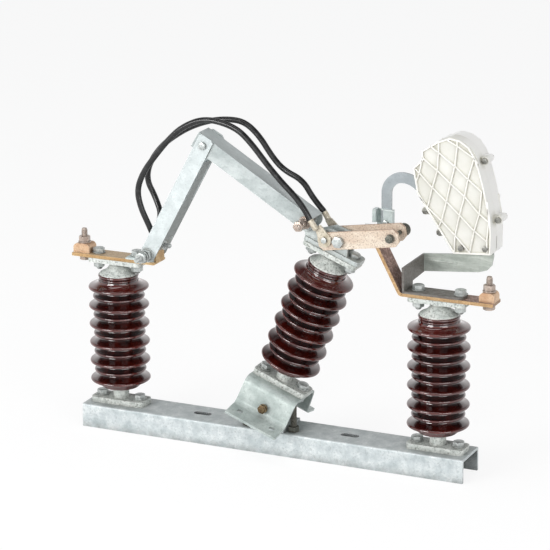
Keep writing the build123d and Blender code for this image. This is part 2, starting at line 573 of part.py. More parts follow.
def blade_lugs():
    """Crimp lugs on the blade bars: a round palm, and a barrel that takes the cable's end."""
    lugs = []
    for side, route in ((-1, NEAR_ROUTE), (1, FAR_ROUTE)):
        face, outer = side * BLADE_HALF, side * (BLADE_HALF + LUG_WALL)
        palm = rod("y", PALM_BOLT, PALM_RADIUS, face, outer)
        way = (Vector(*route[-2]) - Vector(*route[-1])).normalized()
        start = Vector(*route[-1]) - way * BLADE_BARREL
        barrel = round_bar(start, route[-1], LUG_RADIUS)
        neck = flat([(start.X - 6, start.Z + 2), (start.X + 6, start.Z + 8),
                     (PALM_BOLT[0] + 11, PALM_BOLT[1] + 6), (PALM_BOLT[0] - 11, PALM_BOLT[1] + 2)],
                    LUG_WALL, (face + outer) / 2)
        lug = palm + neck + barrel
        lug -= Pos(PALM_BOLT[0], 0, PALM_BOLT[1]) * Box(200, 2 * BLADE_HALF, 200)
        lugs.append(lug - drill("y", PALM_BOLT, BOLT_SIZES[6][0] + PIN_CLEARANCE, -60, 60))
    return joined(lugs)


# ---- arcing horn --------------------------------------------------------------------------------
def arcing_horn():
    """Flat strip on edge: upright, round bend, wider bend and a short straight tip in the chute."""
    half = HORN_WIDTH / 2
    apex = (HORN_X + HORN_BEND, SPRING_BOLT[1] + HORN_RISE - half)
    centre = (apex[0], apex[1] - HORN_BEND)
    nose = (apex[0], apex[1] - HORN_NOSE)
    turn = radians(HORN_TURN)
    end = (nose[0] + HORN_NOSE * sin(turn), nose[1] + HORN_NOSE * cos(turn))
    tip = (end[0] + HORN_TIP * cos(turn), end[1] - HORN_TIP * sin(turn))
    bend_middle = (centre[0] - HORN_BEND * cos(turn), centre[1] + HORN_BEND * sin(turn))
    nose_middle = (nose[0] + HORN_NOSE * sin(turn / 2), nose[1] + HORN_NOSE * cos(turn / 2))
    line = Wire([
        Line((HORN_X, HORN_FOOT), (HORN_X, centre[1])),
        ThreePointArc((HORN_X, centre[1]), bend_middle, apex),
        ThreePointArc(apex, nose_middle, end),
        Line(end, tip),
    ])
    section = strip(line, half)
    horn = in_xz(section, HORN_Y - HORN_WALL / 2, HORN_Y + HORN_WALL / 2)
    return horn - drill("y", HORN_SCREW, BOLT_SIZES[6][0] + PIN_CLEARANCE, HORN_Y - 9, HORN_Y + 9)


def horn_holder():
    """Folded sheet on the far bar: foot, arm outwards, and a clip that wraps the horn's foot."""
    left, right = HORN_X - HORN_WIDTH / 2 - SEAT_CLEARANCE, HORN_X + HORN_WIDTH / 2 + SEAT_CLEARANCE
    front, back = HORN_Y - HORN_WALL / 2, HORN_Y + HORN_WALL / 2
    low = HORN_FOOT - HOLDER_WALL - SEAT_CLEARANCE
    wall = HOLDER_WALL
    holder = block((left - 10, right), (BLADE_HALF, BLADE_HALF + wall), (low, low + 20))
    holder += block((left - 10, right), (BLADE_HALF, back + wall), (low, low + wall))
    holder += block((left - 10, right + wall), (back, back + wall), (low, low + 35))
    holder += block((right, right + wall), (front - wall, back + wall), (low + 6, low + 35))
    holder += block((left + 5, right + wall), (front - wall, front), (low + 6, low + 36))
    lip = flat([(left + 3, low + 35), (right + 6, low + 34), (right + 6, low + 36.5), (left + 3, low + 37.5)],
               2 * wall, front - wall)
    holder += lip
    holder += block((left - 14, left - 10 + wall), (front - wall - 6, back + wall), (low + 12, low + 36))
    return holder - drill("y", HORN_SCREW, BOLT_SIZES[6][0] + PIN_CLEARANCE, HORN_Y - 12, HORN_Y + 12)


def horn_screws():
    grip = HORN_WALL / 2 + HOLDER_WALL
    return bolt("y", HORN_SCREW, 6, HORN_Y - grip, HORN_Y + grip, tail=2, washers=(False, False))


# ---- arc chute and its bracket ------------------------------------------------------------------
def chute_face(inset=0):
    """The chute's side outline: slanted left edge with a nose, round crown, upright right edge."""
    line = Curve() + [
        Polyline((328.5, 63), (398.4, 67.7), (399, 105)),
        ThreePointArc((399, 105), (390, 163), (374, 223)),
        ThreePointArc((374, 223), (355, 260), (318, 273.5)),
        Polyline((318, 273.5), (295, 264), (265.5, 245), (266.5, 229), (249.5, 212), (252, 199), (258, 167),
                 (276.7, 139), (328.5, 63)),
    ]
    face = make_face(line)
    return offset(face, -inset, kind=Kind.INTERSECTION) if inset else face


def chute_half(side):
    """One moulded half: side wall, rim to the parting plane, ears for the edge bolts."""
    outer, parting = HORN_Y + side * CHUTE_HALF, HORN_Y + side * CHUTE_GAP / 2

    def layer(near, far):
        return sorted((parting + side * near, parting + side * far))

    half = in_xz(chute_face(), *sorted((outer, parting)))
    for x, z in EAR_BOLTS:
        inwards = x + (EAR_REACH if x < POST_X else -EAR_REACH)
        low, high = z - EAR_RADIUS + 1, z + EAR_RADIUS - 1
        half += rod("y", (x, z), EAR_RADIUS, parting, parting + side * EAR_DEPTH)
        half += flat([(x, high), (x, low), (inwards, low), (inwards, high)], EAR_DEPTH,
                     parting + side * EAR_DEPTH / 2)
    depth = CHUTE_HALF - CHUTE_GAP / 2
    half -= in_xz(chute_face(CHUTE_RIM), *layer(-2, depth - CHUTE_WALL))
    half -= block((200, 285), layer(-2, CHUTE_SLIT_HALF), (CHUTE_SLIT_FROM, CHUTE_SLIT_TO))
    recess = BRACKET_WALL / 2 - CHUTE_GAP / 2 + SEAT_CLEARANCE
    half -= block((318, 420), layer(-2, recess), (10, 96))
    for centre in CHUTE_BOLTS:
        half += rod("y", centre, 7, parting + side * recess, outer - side * CHUTE_WALL / 2)
    for centre in CHUTE_BOLTS + EAR_BOLTS:
        half -= drill("y", centre, BOLT_SIZES[6][0] + PIN_CLEARANCE, 40, 120)
    return half


def chute_bolts():
    seat = EAR_DEPTH + CHUTE_GAP / 2
    bolts = [bolt("y", centre, 6, HORN_Y - CHUTE_HALF, HORN_Y + CHUTE_HALF, tail=2, washers=(False, False))
             for centre in CHUTE_BOLTS]
    bolts += [bolt("y", centre, 6, HORN_Y - seat, HORN_Y + seat, tail=2, washers=(False, False))
              for centre in EAR_BOLTS]
    return joined(bolts)


def chute_bracket():
    """Bent steel strip: a base under the post's bolts, an upright crank plate and the chute's arm."""
    half, back = BRACKET_HALF, HORN_Y + BRACKET_WALL / 2
    bracket = block((BRACKET_X, BRACKET_END - half), (-half, half), (0, BRACKET_WALL))
    bracket += Pos(BRACKET_END - half, 0) * extrude(RectangleRounded(2 * half, 2 * half, 12), BRACKET_WALL)
    for side in (-1, 1):
        centre = (POST_X + side * FLANGE_BOLT_SPACING / 2, 0)
        bracket -= drill("z", centre, BOLT_SIZES[12][0] + SLIDE_CLEARANCE, 0, BRACKET_WALL)
    crank = Polyline((-half, 0), (half + 1, 0), (half + 2, ARM_LOW - 2), (back, ARM_LOW), (back, ARM_HIGH),
                     (-half - 3, ARM_HIGH), close=True)
    bracket += Pos(BRACKET_X, 0, 0) * extrude(Plane.YZ * make_face(crank), BRACKET_WALL)
    arm = make_face(Polyline((BRACKET_X, ARM_LOW), (366, 25), (382, 30), (391, 40), (394, 56), (394, 91),
                             (328, 91), (322, 54), (BRACKET_X, ARM_HIGH), close=True))
    bracket += in_xz(arm, back - BRACKET_WALL, back)
    for centre in CHUTE_BOLTS:
        bracket -= drill("y", centre, BOLT_SIZES[6][0] + PIN_CLEARANCE, HORN_Y - 3, HORN_Y + 3)
    return bracket


# ---- flexible cables ----------------------------------------------------------------------------
def tab_lug_end(side):
    """Where a cable leaves its lug on the terminal's tab; the far lug's palm lies on the near one's."""
    lean = radians(TAB_LUG_SPREAD)
    x = TAB_FACE_X - PLATE_THICKNESS - LUG_RADIUS - SEAT_CLEARANCE - (LUG_WALL if side > 0 else 0)
    return x, side * TAB_LUG_LENGTH * sin(lean), TAB_BOLT_Z + TAB_LUG_LENGTH * cos(lean)


NEAR_ROUTE = [
    tab_lug_end(-1),
    (-245.5, -12, 378), (-269, -14, 408), (-265, -15, 450), (-240, -16, 488), (-204, -18, 523),
    (-162, -20, 558), (-117, -22, 577), (-72, -24, 568), (-28, -26, 538), (12, -29, 496),
    (50, -32, 456), (86, -32.5, 409),
]
FAR_ROUTE = [
    tab_lug_end(1),
    (-251, 13, 380), (-268, 14, 412), (-259, 15, 454), (-229, 17, 493), (-188, 19, 529),
    (-143, 21, 556), (-97, 23, 566), (-54, 25, 556), (-14, 28, 524), (24, 30, 488),
    (58, 32, 452), (85, 32.5, 409),
]


def cable(name, route):
    """A round flexible cable: straight runs joined by the largest arcs that its runs allow."""
    points = [Vector(*p) for p in route]
    radii = []
    for before, at, after in zip(points, points[1:], points[2:]):
        turn = (at - before).get_angle(after - at)
        shorter = min((at - before).length, (after - at).length)
        radii.append(0.45 * shorter / tan(radians(turn / 2)))
    line = FilletPolyline(*points, radius=radii)
    tube = sweep(Plane(origin=points[0], z_dir=points[1] - points[0]) * Circle(CABLE_RADIUS), path=line)
    expected = Circle(CABLE_RADIUS).area * line.length
    print(name, "length", round(line.length, 1), "volume ratio", round(tube.volume / expected, 4))
    print(name, "radii", [round(r) for r in radii])
    return tube


def tab_lugs():
    """Two crimp lugs, palm on palm against the tab, their barrels leaning apart above them."""
    lugs = []
    for side, route, high in ((-1, NEAR_ROUTE, TAB_FACE_X - PLATE_THICKNESS),
                              (1, FAR_ROUTE, TAB_FACE_X - PLATE_THICKNESS - LUG_WALL)):
        end = Vector(*route[0])
        way = (Vector(*route[1]) - end).normalized()
        palm = rod("x", (0, TAB_BOLT_Z), TAB_PALM_RADIUS, high - LUG_WALL, high)
        top = end.Z - TAB_BARREL / 2
        outline = Polyline((0, TAB_BOLT_Z), (side * TAB_PALM_RADIUS, TAB_BOLT_Z), (end.Y + side * 4, top),
                           (end.Y - side * 4, top), close=True)
        neck = Pos(high - LUG_WALL, 0, 0) * extrude(Plane.YZ * make_face(outline), LUG_WALL)
        lug = palm + neck + round_bar(end - way * TAB_BARREL, end, LUG_RADIUS)
        hole = BOLT_SIZES[10][0] + PIN_CLEARANCE
        lugs.append(lug - drill("x", (0, TAB_BOLT_Z), hole, high - LUG_WALL, high))
    return joined(lugs)


def tab_bolt():
    seat = TAB_FACE_X - PLATE_THICKNESS - 2 * LUG_WALL
    return bolt("x", (0, TAB_BOLT_Z), 10, seat, TAB_FACE_X, tail=12, turn=30, washers=(False, True))


# ---- assembly -----------------------------------------------------------------------------------
def assemble():
    under_top = INSULATOR_HEIGHT - TOP_FLANGE
    posts = {"left": Pos(-POST_X, 0, 0), "right": Pos(POST_X, 0, 0),
             "rocker": Location((0, 0, PIVOT_HEIGHT), (0, CLOSED_TILT, 0)) * Pos(0, 0, SADDLE_TOP)}
    nodes = {"base_channel": base_channel()}
    for name, place in posts.items():
        nodes[f"{name}_porcelain"] = place * porcelain()
        nodes[f"{name}_end_fittings"] = place * end_fittings()
    for name, centre_x in (("left", -POST_X), ("right", POST_X)):
        nodes[f"{name}_base_bolts"] = pair_of_bolts(centre_x, -CHANNEL_WALL, (BASE_FLANGE, BASE_FLANGE))
    nodes["left_top_bolts"] = pair_of_bolts(-POST_X, under_top, (PLATE_HIGH, PLATE_HIGH + ANCHOR_WALL))
    nodes["right_top_bolts"] = pair_of_bolts(POST_X, under_top, 2 * (PLATE_HIGH + BRACKET_WALL,))
    nodes["rocker_base_bolts"] = on_rocker(
        pair_of_bolts(0, SADDLE_TOP - SADDLE_WALL, 2 * (SADDLE_TOP + BASE_FLANGE,), washers=(True, False)))
    nodes["rocker_top_bolts"] = on_rocker(
        pair_of_bolts(0, SADDLE_TOP + under_top, 2 * (CARRIER_HIGH,), washers=(False, True)))
    nodes["pivot_pedestal"] = pivot_pedestal()
    nodes["stop_bolts"] = stop_bolts()
    nodes["pivot_bolt"] = pivot_bolt()
    nodes["rocker_saddle"] = on_rocker(rocker_saddle())
    nodes["left_terminal_plate"] = left_terminal_plate()
    nodes["right_terminal_contact"] = right_terminal_contact()
    nodes["left_conductor_keeper"] = conductor_keeper(LEFT_CLAMP_X, LEFT_CLAMP_LENGTH)
    nodes["right_conductor_keeper"] = conductor_keeper(RIGHT_CLAMP_X, RIGHT_CLAMP_LENGTH)
    nodes["clamp_studs"] = joined([clamp_stud(LEFT_CLAMP_X), clamp_stud(RIGHT_CLAMP_X)])
    nodes["link_anchor"] = link_anchor()
    nodes["anchor_pin"] = anchor_pin()
    nodes["lower_link"] = lower_link()
    nodes["upper_link"] = upper_link()
    nodes["knee_bolt"] = knee_bolt()
    nodes["rocker_pin"] = rocker_pin()
    nodes["blade_carrier"] = on_rocker(blade_carrier())
    nodes["near_blade_bar"], nodes["far_blade_bar"] = both_sides(blade_bar)
    nodes["blade_bolts"] = blade_bolts()
    nodes["contact_spring_bolt"] = contact_spring_bolt()
    nodes["blade_lugs"] = blade_lugs()
    nodes["arcing_horn"] = arcing_horn()
    nodes["horn_holder"] = horn_holder()
    nodes["horn_screws"] = horn_screws()
    nodes["chute_bracket"] = on_plate(chute_bracket())
    nodes["chute_front_half"], nodes["chute_rear_half"] = [on_plate(half) for half in both_sides(chute_half)]
    nodes["chute_bolts"] = on_plate(chute_bolts())
    nodes["tab_lugs"] = tab_lugs()
    nodes["tab_bolt"] = tab_bolt()
    nodes["near_cable"] = cable("near_cable", NEAR_ROUTE)
    nodes["far_cable"] = cable("far_cable", FAR_ROUTE)
    return nodes


os.makedirs("parts", exist_ok=True)
for node, shape in assemble().items():
    export_step(shape, f"parts/{node}.step")
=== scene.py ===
# %% [markdown]
# # A disconnect switch in Blender
# The steel, iron and copper of the switch come ready-made as a frame of fixed parts, each in its true place
# and size. This lesson adds glazed porcelain, threaded fasteners, the ribs of the arc chute, two flexible
# cables, and a finish for each surface.

# %% Load the frame
import json
import math
from collections import namedtuple

import bpy
from mathutils import Matrix, Vector


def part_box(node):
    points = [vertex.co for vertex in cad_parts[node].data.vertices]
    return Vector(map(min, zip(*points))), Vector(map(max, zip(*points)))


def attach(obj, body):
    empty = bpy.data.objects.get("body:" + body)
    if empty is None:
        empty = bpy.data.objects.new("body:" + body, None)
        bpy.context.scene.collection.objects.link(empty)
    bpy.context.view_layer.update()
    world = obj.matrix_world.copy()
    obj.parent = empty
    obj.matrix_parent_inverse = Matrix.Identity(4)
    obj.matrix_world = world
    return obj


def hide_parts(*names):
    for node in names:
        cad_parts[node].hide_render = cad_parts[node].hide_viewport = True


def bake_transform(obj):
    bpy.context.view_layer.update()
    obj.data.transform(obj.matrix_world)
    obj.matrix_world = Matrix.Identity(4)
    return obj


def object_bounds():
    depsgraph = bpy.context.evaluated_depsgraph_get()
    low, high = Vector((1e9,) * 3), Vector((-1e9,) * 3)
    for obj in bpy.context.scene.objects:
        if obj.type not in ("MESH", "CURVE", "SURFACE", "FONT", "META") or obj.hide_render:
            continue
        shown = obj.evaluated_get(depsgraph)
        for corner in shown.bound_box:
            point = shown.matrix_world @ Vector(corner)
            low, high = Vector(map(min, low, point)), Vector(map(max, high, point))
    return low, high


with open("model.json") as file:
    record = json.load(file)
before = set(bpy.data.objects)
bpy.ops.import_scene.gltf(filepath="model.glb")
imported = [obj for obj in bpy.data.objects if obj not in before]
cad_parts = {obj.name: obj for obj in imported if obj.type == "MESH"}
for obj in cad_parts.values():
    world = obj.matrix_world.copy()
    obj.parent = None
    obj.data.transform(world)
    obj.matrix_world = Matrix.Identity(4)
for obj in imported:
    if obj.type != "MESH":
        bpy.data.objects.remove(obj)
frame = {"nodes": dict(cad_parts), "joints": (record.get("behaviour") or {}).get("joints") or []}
cad_box = [list(corner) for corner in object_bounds()]
JOINT_AT = {joint["name"]: Vector(joint["pos_m"]) for joint in frame["joints"]}
MM = 0.001
print("frame from", [round(v, 4) for v in cad_box[0]], "to", [round(v, 4) for v in cad_box[1]])

# %% [markdown]
# ## Camera
# A long, low object is best taken from far away with a long lens, because that keeps the three posts nearly
# the same size. The camera stands to the right of the switch, a little above it. Its place and its turn
# follow from an azimuth, an elevation and a slight roll.

# %% Set up the camera
AZIMUTH, ELEVATION, ROLL = math.radians(24.85), math.radians(16.54), math.radians(-0.43)
DISTANCE, LENS, AIM = 4.7755, 171.72, Vector((0.0013, 0, 0.2884))

turned = Matrix.Rotation(AZIMUTH, 3, "Z") @ Matrix.Rotation(math.pi / 2 - ELEVATION, 3, "X")
turned = turned @ Matrix.Rotation(ROLL, 3, "Z")
bpy.ops.object.camera_add(location=AIM + turned.col[2] * DISTANCE, rotation=turned.to_euler())
camera = bpy.context.object
camera.data.lens, camera.data.sensor_width = LENS, 36
camera.data.clip_start, camera.data.clip_end = 0.1, 100
bpy.context.scene.camera = camera
bpy.context.scene.view_settings.view_transform = "Standard"
print("camera at", [round(v, 3) for v in camera.location])

# %% [markdown]
# ## Working by hand, in code
# Blender's operators act on whatever is selected, and loading the frame leaves all its parts selected. So
# each step starts from an empty selection. These helpers are the hand movements that come back often.

# %% Hand movements
def clear():
    bpy.ops.object.select_all(action="DESELECT")


def pick(*objects):
    clear()
    for one in objects:
        one.select_set(True)
    bpy.context.view_layer.objects.active = objects[0]


def modify(piece, kind, **settings):
    """Adds one modifier to a piece, sets it and applies it."""
    pick(piece)
    bpy.ops.object.modifier_add(type=kind)
    modifier = piece.modifiers[-1]
    for name, value in settings.items():
        setattr(modifier, name, value)
    bpy.ops.object.modifier_apply(modifier=modifier.name)
    return piece


def settle(piece, name):
    """Puts a piece's place into its mesh, so that its object sits unturned at the origin."""
    pick(piece)
    bpy.ops.object.transform_apply(location=True, rotation=True, scale=True)
    piece.name = piece.data.name = name
    return piece


def join(pieces, name):
    pick(*pieces)
    if len(pieces) > 1:
        bpy.ops.object.join()
    return settle(bpy.context.object, name)


def mode(name):
    bpy.ops.object.mode_set(mode=name)


def whole():
    bpy.ops.mesh.select_all(action="SELECT")


def outward():
    """Turns all faces of the mesh in hand outwards, and leaves edit mode."""
    whole()
    bpy.ops.mesh.normals_make_consistent(inside=False)
    mode("OBJECT")


def smooth(piece, degrees):
    pick(piece)
    bpy.ops.object.shade_smooth_by_angle(angle=math.radians(degrees))
    return piece


clear()
print("selected", len(bpy.context.selected_objects))

# %% [markdown]
# ## Lathe
# Porcelain, washers and studs are round about one axis, so half of the outline is drawn and spun. It starts
# from a plane whose corners are merged into a single point, which is moved to the start and then extruded
# from corner to corner. Spinning in many steps closes the shape, and merging the doubles closes its poles.
# All outlines are written in millimetres.

# %% Draw an outline and spin it
def draw(points):
    """A chain of edges through the points, drawn by extruding one vertex. Leaves it in edit mode."""
    clear()
    bpy.ops.mesh.primitive_plane_add(size=MM, location=(0, 0, 0))
    mode("EDIT")
    whole()
    bpy.ops.mesh.merge(type="CENTER")
    points = [Vector(point) * MM for point in points]
    bpy.ops.transform.translate(value=points[0])
    for before, point in zip(points, points[1:]):
        bpy.ops.mesh.extrude_region_move(TRANSFORM_OT_translate={"value": point - before})


def lathe(name, outline, steps):
    """A round piece on the Z axis from (radius, height) corners."""
    draw([(radius, 0, height) for radius, height in outline])
    whole()
    bpy.ops.mesh.spin(steps=steps, angle=math.tau, center=(0, 0, 0), axis=(0, 0, 1))
    whole()
    bpy.ops.mesh.remove_doubles(threshold=MM / 100)
    outward()
    piece = bpy.context.object
    piece.name = name
    return piece


def arc(centre, radius, start, end, steps):
    """Corners of a circular arc, its angles in degrees."""
    turns = [math.radians(start + (end - start) * i / steps) for i in range(steps + 1)]
    return [(centre[0] + radius * math.cos(t), centre[1] + radius * math.sin(t)) for t in turns]


print("a quarter circle in 3 steps has", len(arc((0, 0), 1, 0, 90, 3)), "corners")

# %% [markdown]
# ## Porcelain posts
# Each post is brown glazed porcelain: a core with six large sheds and five small ones between them. A shed
# is a thin round plate whose top slopes down to a full round rim, and whose underside is hollowed, so that
# rain drips off before it reaches the core. Under the glaze nothing is sharp, so the outline goes through
# soft curves at each root. The post is modelled once and copied twice.

# %% The outline of a post
CORE, LARGE_SHED, SMALL_SHED = 38, 56.8, 49
FIRST_SHED, SHED_PITCH, LARGE_SHEDS = 49.5, 36, 6
FOOT, COLLAR, RIM = 33, 252, 3.2


def shed(height, radius):
    """Root, hollowed underside, round rim, sloping top and soft upper root."""
    rise = 9 if radius == LARGE_SHED else 7
    reach = radius - CORE
    under = [(CORE, height - 7), (CORE + 1, height - 5.4), (CORE + 3.2, height - 4.2),
             (CORE + reach * 0.5, height - 3.6), (radius - 5.4, height - RIM)]
    top = [(CORE + reach * 0.62, height + rise * 0.42), (CORE + reach * 0.32, height + rise * 0.64),
           (CORE + 2.6, height + rise * 0.86), (CORE + 0.7, height + rise * 1.05),
           (CORE, height + rise * 1.3)]
    return under + arc((radius - RIM, height), RIM, -78, 80, 8) + top


sheds = [(FIRST_SHED + SHED_PITCH * i, LARGE_SHED) for i in range(LARGE_SHEDS)]
sheds += [(FIRST_SHED + SHED_PITCH * (i + 0.5), SMALL_SHED) for i in range(LARGE_SHEDS - 1)]
outline = [(0, FOOT), (CORE - 5, FOOT), (CORE - 2, FOOT + 1), (CORE - 0.4, FOOT + 3)]
for height, radius in sorted(sheds):
    outline += shed(height, radius)
outline += [(CORE - 1.6, COLLAR - 12), (CORE - 3, COLLAR - 10)]
outline += arc((CORE - 3.4, COLLAR - 6.4), 2.4, -80, 70, 6)
outline += arc((CORE - 2.4, COLLAR - 0.6), 2.6, -70, 130, 10)
outline += [(CORE - 7, COLLAR - 0.2), (0, COLLAR - 0.2)]
print("outline of", len(outline), "corners")

# %% [markdown]
# Once the first post is spun, a copy needs only a new place. The rocker's post leans 21.5 degrees about the
# pivot, so its matrix first lifts it onto the saddle, then turns it, then lifts the pivot. The neck under
# each top fitting is a small flare of cement, one more spun outline.

# %% Spin the post and its flare and copy them
def moved(x, y, z):
    return Matrix.Translation((x * MM, y * MM, z * MM))


POST, SADDLE, TILT, PIVOT = 322, 38, math.radians(21.5), JOINT_AT["rocker_tilt"]
ON_ROCKER = Matrix.Translation(PIVOT) @ Matrix.Rotation(TILT, 4, "Y")
POSTS = {"left": moved(-POST, 0, 0), "right": moved(POST, 0, 0), "rocker": ON_ROCKER @ moved(0, 0, SADDLE)}
FLARE = [(38, -1), (3.2, -1), (2.6, 1.8), (5, 4.4), (10, 7.2), (15, 10.4), (19, 14.4), (21.8, 19), (38, 19)]
added = {}


def copy_at(pattern, name, place):
    """A copy with its own mesh, moved by a matrix."""
    piece = pattern.copy()
    piece.data = pattern.data.copy()
    bpy.context.scene.collection.objects.link(piece)
    piece.data.transform(place)
    piece.name = piece.data.name = name
    return piece


def mount(piece, body, slot, part=None):
    """The piece rides on its body and replaces a part of the frame if it has one; its slot is not used."""
    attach(piece, body)
    if part:
        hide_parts(part)
    added[piece.name] = piece
    print(piece.name, "has", len(piece.data.polygons), "faces")


post_pattern = smooth(lathe("post_pattern", outline, 112), 50)
flare = [(CORE - inwards, COLLAR + up) for inwards, up in FLARE]
flare_pattern = smooth(lathe("flare_pattern", flare, 64), 50)
BODY = {"left": "base", "right": "base", "rocker": "rocker"}
for post, place in POSTS.items():
    mount(copy_at(post_pattern, f"glazed_post_{post}", place), BODY[post], "porcelain", f"{post}_porcelain")
for post, place in POSTS.items():
    mount(copy_at(flare_pattern, f"cement_flare_{post}", place), BODY[post], "cast_fittings")
bpy.data.objects.remove(post_pattern)
bpy.data.objects.remove(flare_pattern)

# %% [markdown]
# ## Flexible cables
# Two black cables join the fixed left terminal to the moving blades. Each is clamped in a lug at both ends
# and arches freely in between, so it is one smooth NURBS curve. The order and the end points are set after
# the points exist, or the curve stays a chain of straight lines. It has a round bevel as thick as the
# cable, and it is turned into a mesh.

# %% Routes of the cables
CABLE, LUG_HIGH = 11 * MM, 12 * MM
ROUTES = {
    "near": [(-244.8, -8.14, 343.14), (-241, -25, 360), (-255, -33, 398), (-262, -31, 431),
             (-247, -31, 466), (-222, -32, 498), (-195, -33, 530), (-166, -33, 557), (-121, -33, 577),
             (-68, -33, 569), (-36, -33, 549), (18, -33, 485), (72, -33, 437), (86, -32.5, 409)],
    "far": [(-247.8, 8.14, 343.14), (-237, 21, 365), (-259, 34, 402), (-274, 32, 430), (-269, 31, 462),
            (-246, 32, 496), (-220, 33, 518), (-184, 33, 541), (-142, 33, 557), (-103, 33, 563),
            (-71, 33, 560), (-43, 33, 537), (-18, 33, 501), (5, 33, 478), (43, 33, 463), (63, 33, 431),
            (85, 32.5, 409)],
}


def nurbs(name, route, thickness):
    line = bpy.data.curves.new(name, "CURVE")
    line.dimensions = "3D"
    spline = line.splines.new("NURBS")
    spline.points.add(len(route) - 1)
    for point, place in zip(spline.points, route):
        point.co = [value * MM for value in place] + [1]
    spline.order_u = 3
    spline.use_endpoint_u = True
    spline.resolution_u = 14
    line.bevel_depth, line.bevel_resolution, line.use_fill_caps = thickness / 2, 6, True
    curve = bpy.data.objects.new(name, line)
    bpy.context.scene.collection.objects.link(curve)
    return curve


def length_of(points):
    return sum((b - a).length for a, b in zip(points, points[1:]))


print("routes of", [len(route) for route in ROUTES.values()], "points")

# %% [markdown]
# The jacket is scuffed in places, so each point of the cable must know how far along it lies. The centre
# line, read from the same curve without a bevel, gives that length, and a mesh attribute carries it to the
# material.

# %% Make the cables
def make_cable(side):
    bare = nurbs(side + "_line", ROUTES[side], 0)
    points = [v.co.copy() for v in bpy.data.meshes.new_from_object(bare).vertices]
    bpy.data.objects.remove(bare)
    reach = [0.0]
    for a, b in zip(points, points[1:]):
        reach.append(reach[-1] + (b - a).length)
    curve = nurbs(f"flexible_cable_{side}", ROUTES[side], CABLE)
    pick(curve)
    bpy.ops.object.convert(target="MESH")
    piece = bpy.context.object
    along = piece.data.attributes.new("along", "FLOAT", "POINT")
    for vertex in piece.data.vertices:
        nearest = min(range(len(points)), key=lambda i: (points[i] - vertex.co).length_squared)
        along.data[vertex.index].value = reach[nearest]
    smooth(piece, 60)
    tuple(points[-1])
    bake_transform(piece)
    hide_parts(f"{side}_cable")
    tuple(points[0])
    round(length_of(points), 3)
    added[piece.name] = piece
    print(piece.name, "is", round(length_of(points), 3), "m long, with", len(piece.data.polygons), "faces")


for side in ROUTES:
    make_cable(side)

# %% [markdown]
# ## Threads
# A thread is one small V-shaped ridge that winds round a core, so it is modelled that way: a triangle is
# drawn, the Screw modifier winds it up, its two ends are closed, and a core with a bevelled tip goes
# through it.

# %% Wind a thread
Bolt = namedtuple("Bolt", "radius flats head nut washer wall pitch")
STEPS = 18
BOLTS = {6: Bolt(3, 10, 4.0, 5.2, 6.0, 1.6, 1.0), 8: Bolt(4, 13, 5.3, 6.8, 8.0, 1.6, 1.25),
         10: Bolt(5, 17, 6.4, 8.4, 10.0, 2.0, 1.5), 12: Bolt(6, 19, 7.5, 10.0, 12.0, 2.5, 1.75)}


def core(radius, length):
    """A plain rod from 0 to length with a bevelled tip."""
    tip = radius * 0.2
    return lathe("core", [(0, 0), (radius, 0), (radius, length - tip), (radius - tip, length),
                          (0, length)], 24)


def thread(size, length):
    """A threaded rod from 0 to length on the Z axis."""
    radius, pitch = BOLTS[size].radius, BOLTS[size].pitch
    root = radius - 0.6 * pitch
    turns = max(1, int((length - 1.4 * pitch) / pitch))
    draw([(root - pitch * 0.1, 0, 0), (radius, 0, pitch * 0.45), (root - pitch * 0.1, 0, pitch * 0.9)])
    whole()
    bpy.ops.mesh.edge_face_add()
    bpy.ops.mesh.delete(type="ONLY_FACE")
    mode("OBJECT")
    ridge = bpy.context.object
    modify(ridge, "SCREW", angle=math.tau * turns, screw_offset=pitch * turns * MM, steps=STEPS * turns,
           render_steps=STEPS * turns, use_merge_vertices=False)
    mode("EDIT")
    bpy.ops.mesh.select_all(action="DESELECT")
    bpy.ops.mesh.select_non_manifold(extend=False)
    bpy.ops.mesh.fill()
    outward()
    return join([core(root, length), ridge], "thread")


sample = thread(12, 15)
print("thread of", len(sample.data.polygons), "faces")
bpy.data.objects.remove(sample)

# %% [markdown]
# ## Nuts, heads and washers
# A hexagon nut is a six-sided bar whose corners are turned off on a lathe, which leaves a curved edge on
# each flat. So a six-sided cylinder is intersected here with a spun shape that has bevelled ends. A head
# has the bevel on its outer face alone. A washer is a spun ring with slightly rounded edges, a pair of
# spring discs face to face is a double cone with a groove, and a ball is half a circle on the lathe.

# %% Make the hexagons and rings
def hexagon(flats, height, both_ends=True):
    """A hexagonal nut or head from 0 to height, its outer corners turned round."""
    clear()
    across = flats / math.cos(math.radians(30)) / 2
    bpy.ops.mesh.primitive_cylinder_add(vertices=6, radius=across * MM, depth=height * MM,
                                        location=(0, 0, height * MM / 2))
    bar = settle(bpy.context.object, "hexagon")
    face, free = flats / 2 * 0.97, across + 0.1
    slope = (across - flats / 2) * 0.62
    low = [(face, 0), (free, slope)] if both_ends else [(free, 0)]
    turned = lathe("turned", [(0, 0)] + low + [(free, height - slope), (face, height), (0, height)], 48)
    modify(bar, "BOOLEAN", operation="INTERSECT", solver="EXACT", object=turned)
    bpy.data.objects.remove(turned)
    return bar


def head(flats, height):
    return hexagon(flats, height, both_ends=False)


def ring(radii, height):
    inner, outer = radii
    edge = min(height * 0.2, 0.4)
    return lathe("ring", [(inner, 0), (outer - edge, 0), (outer, edge), (outer, height - edge),
                          (outer - edge, height), (inner, height), (inner, 0)], 40)


def disc_pair(radius, height, bore=4, groove=0.2):
    """Two conical spring discs, rim to rim."""
    middle, rim, waist = height / 2, height * 0.34, radius * 0.62
    return lathe("disc_pair", [(bore, 0), (waist, 0), (radius, rim), (radius, middle - groove),
                               (radius - 0.7, middle), (radius, middle + groove), (radius, height - rim),
                               (waist, height), (bore, height), (bore, 0)], 40)


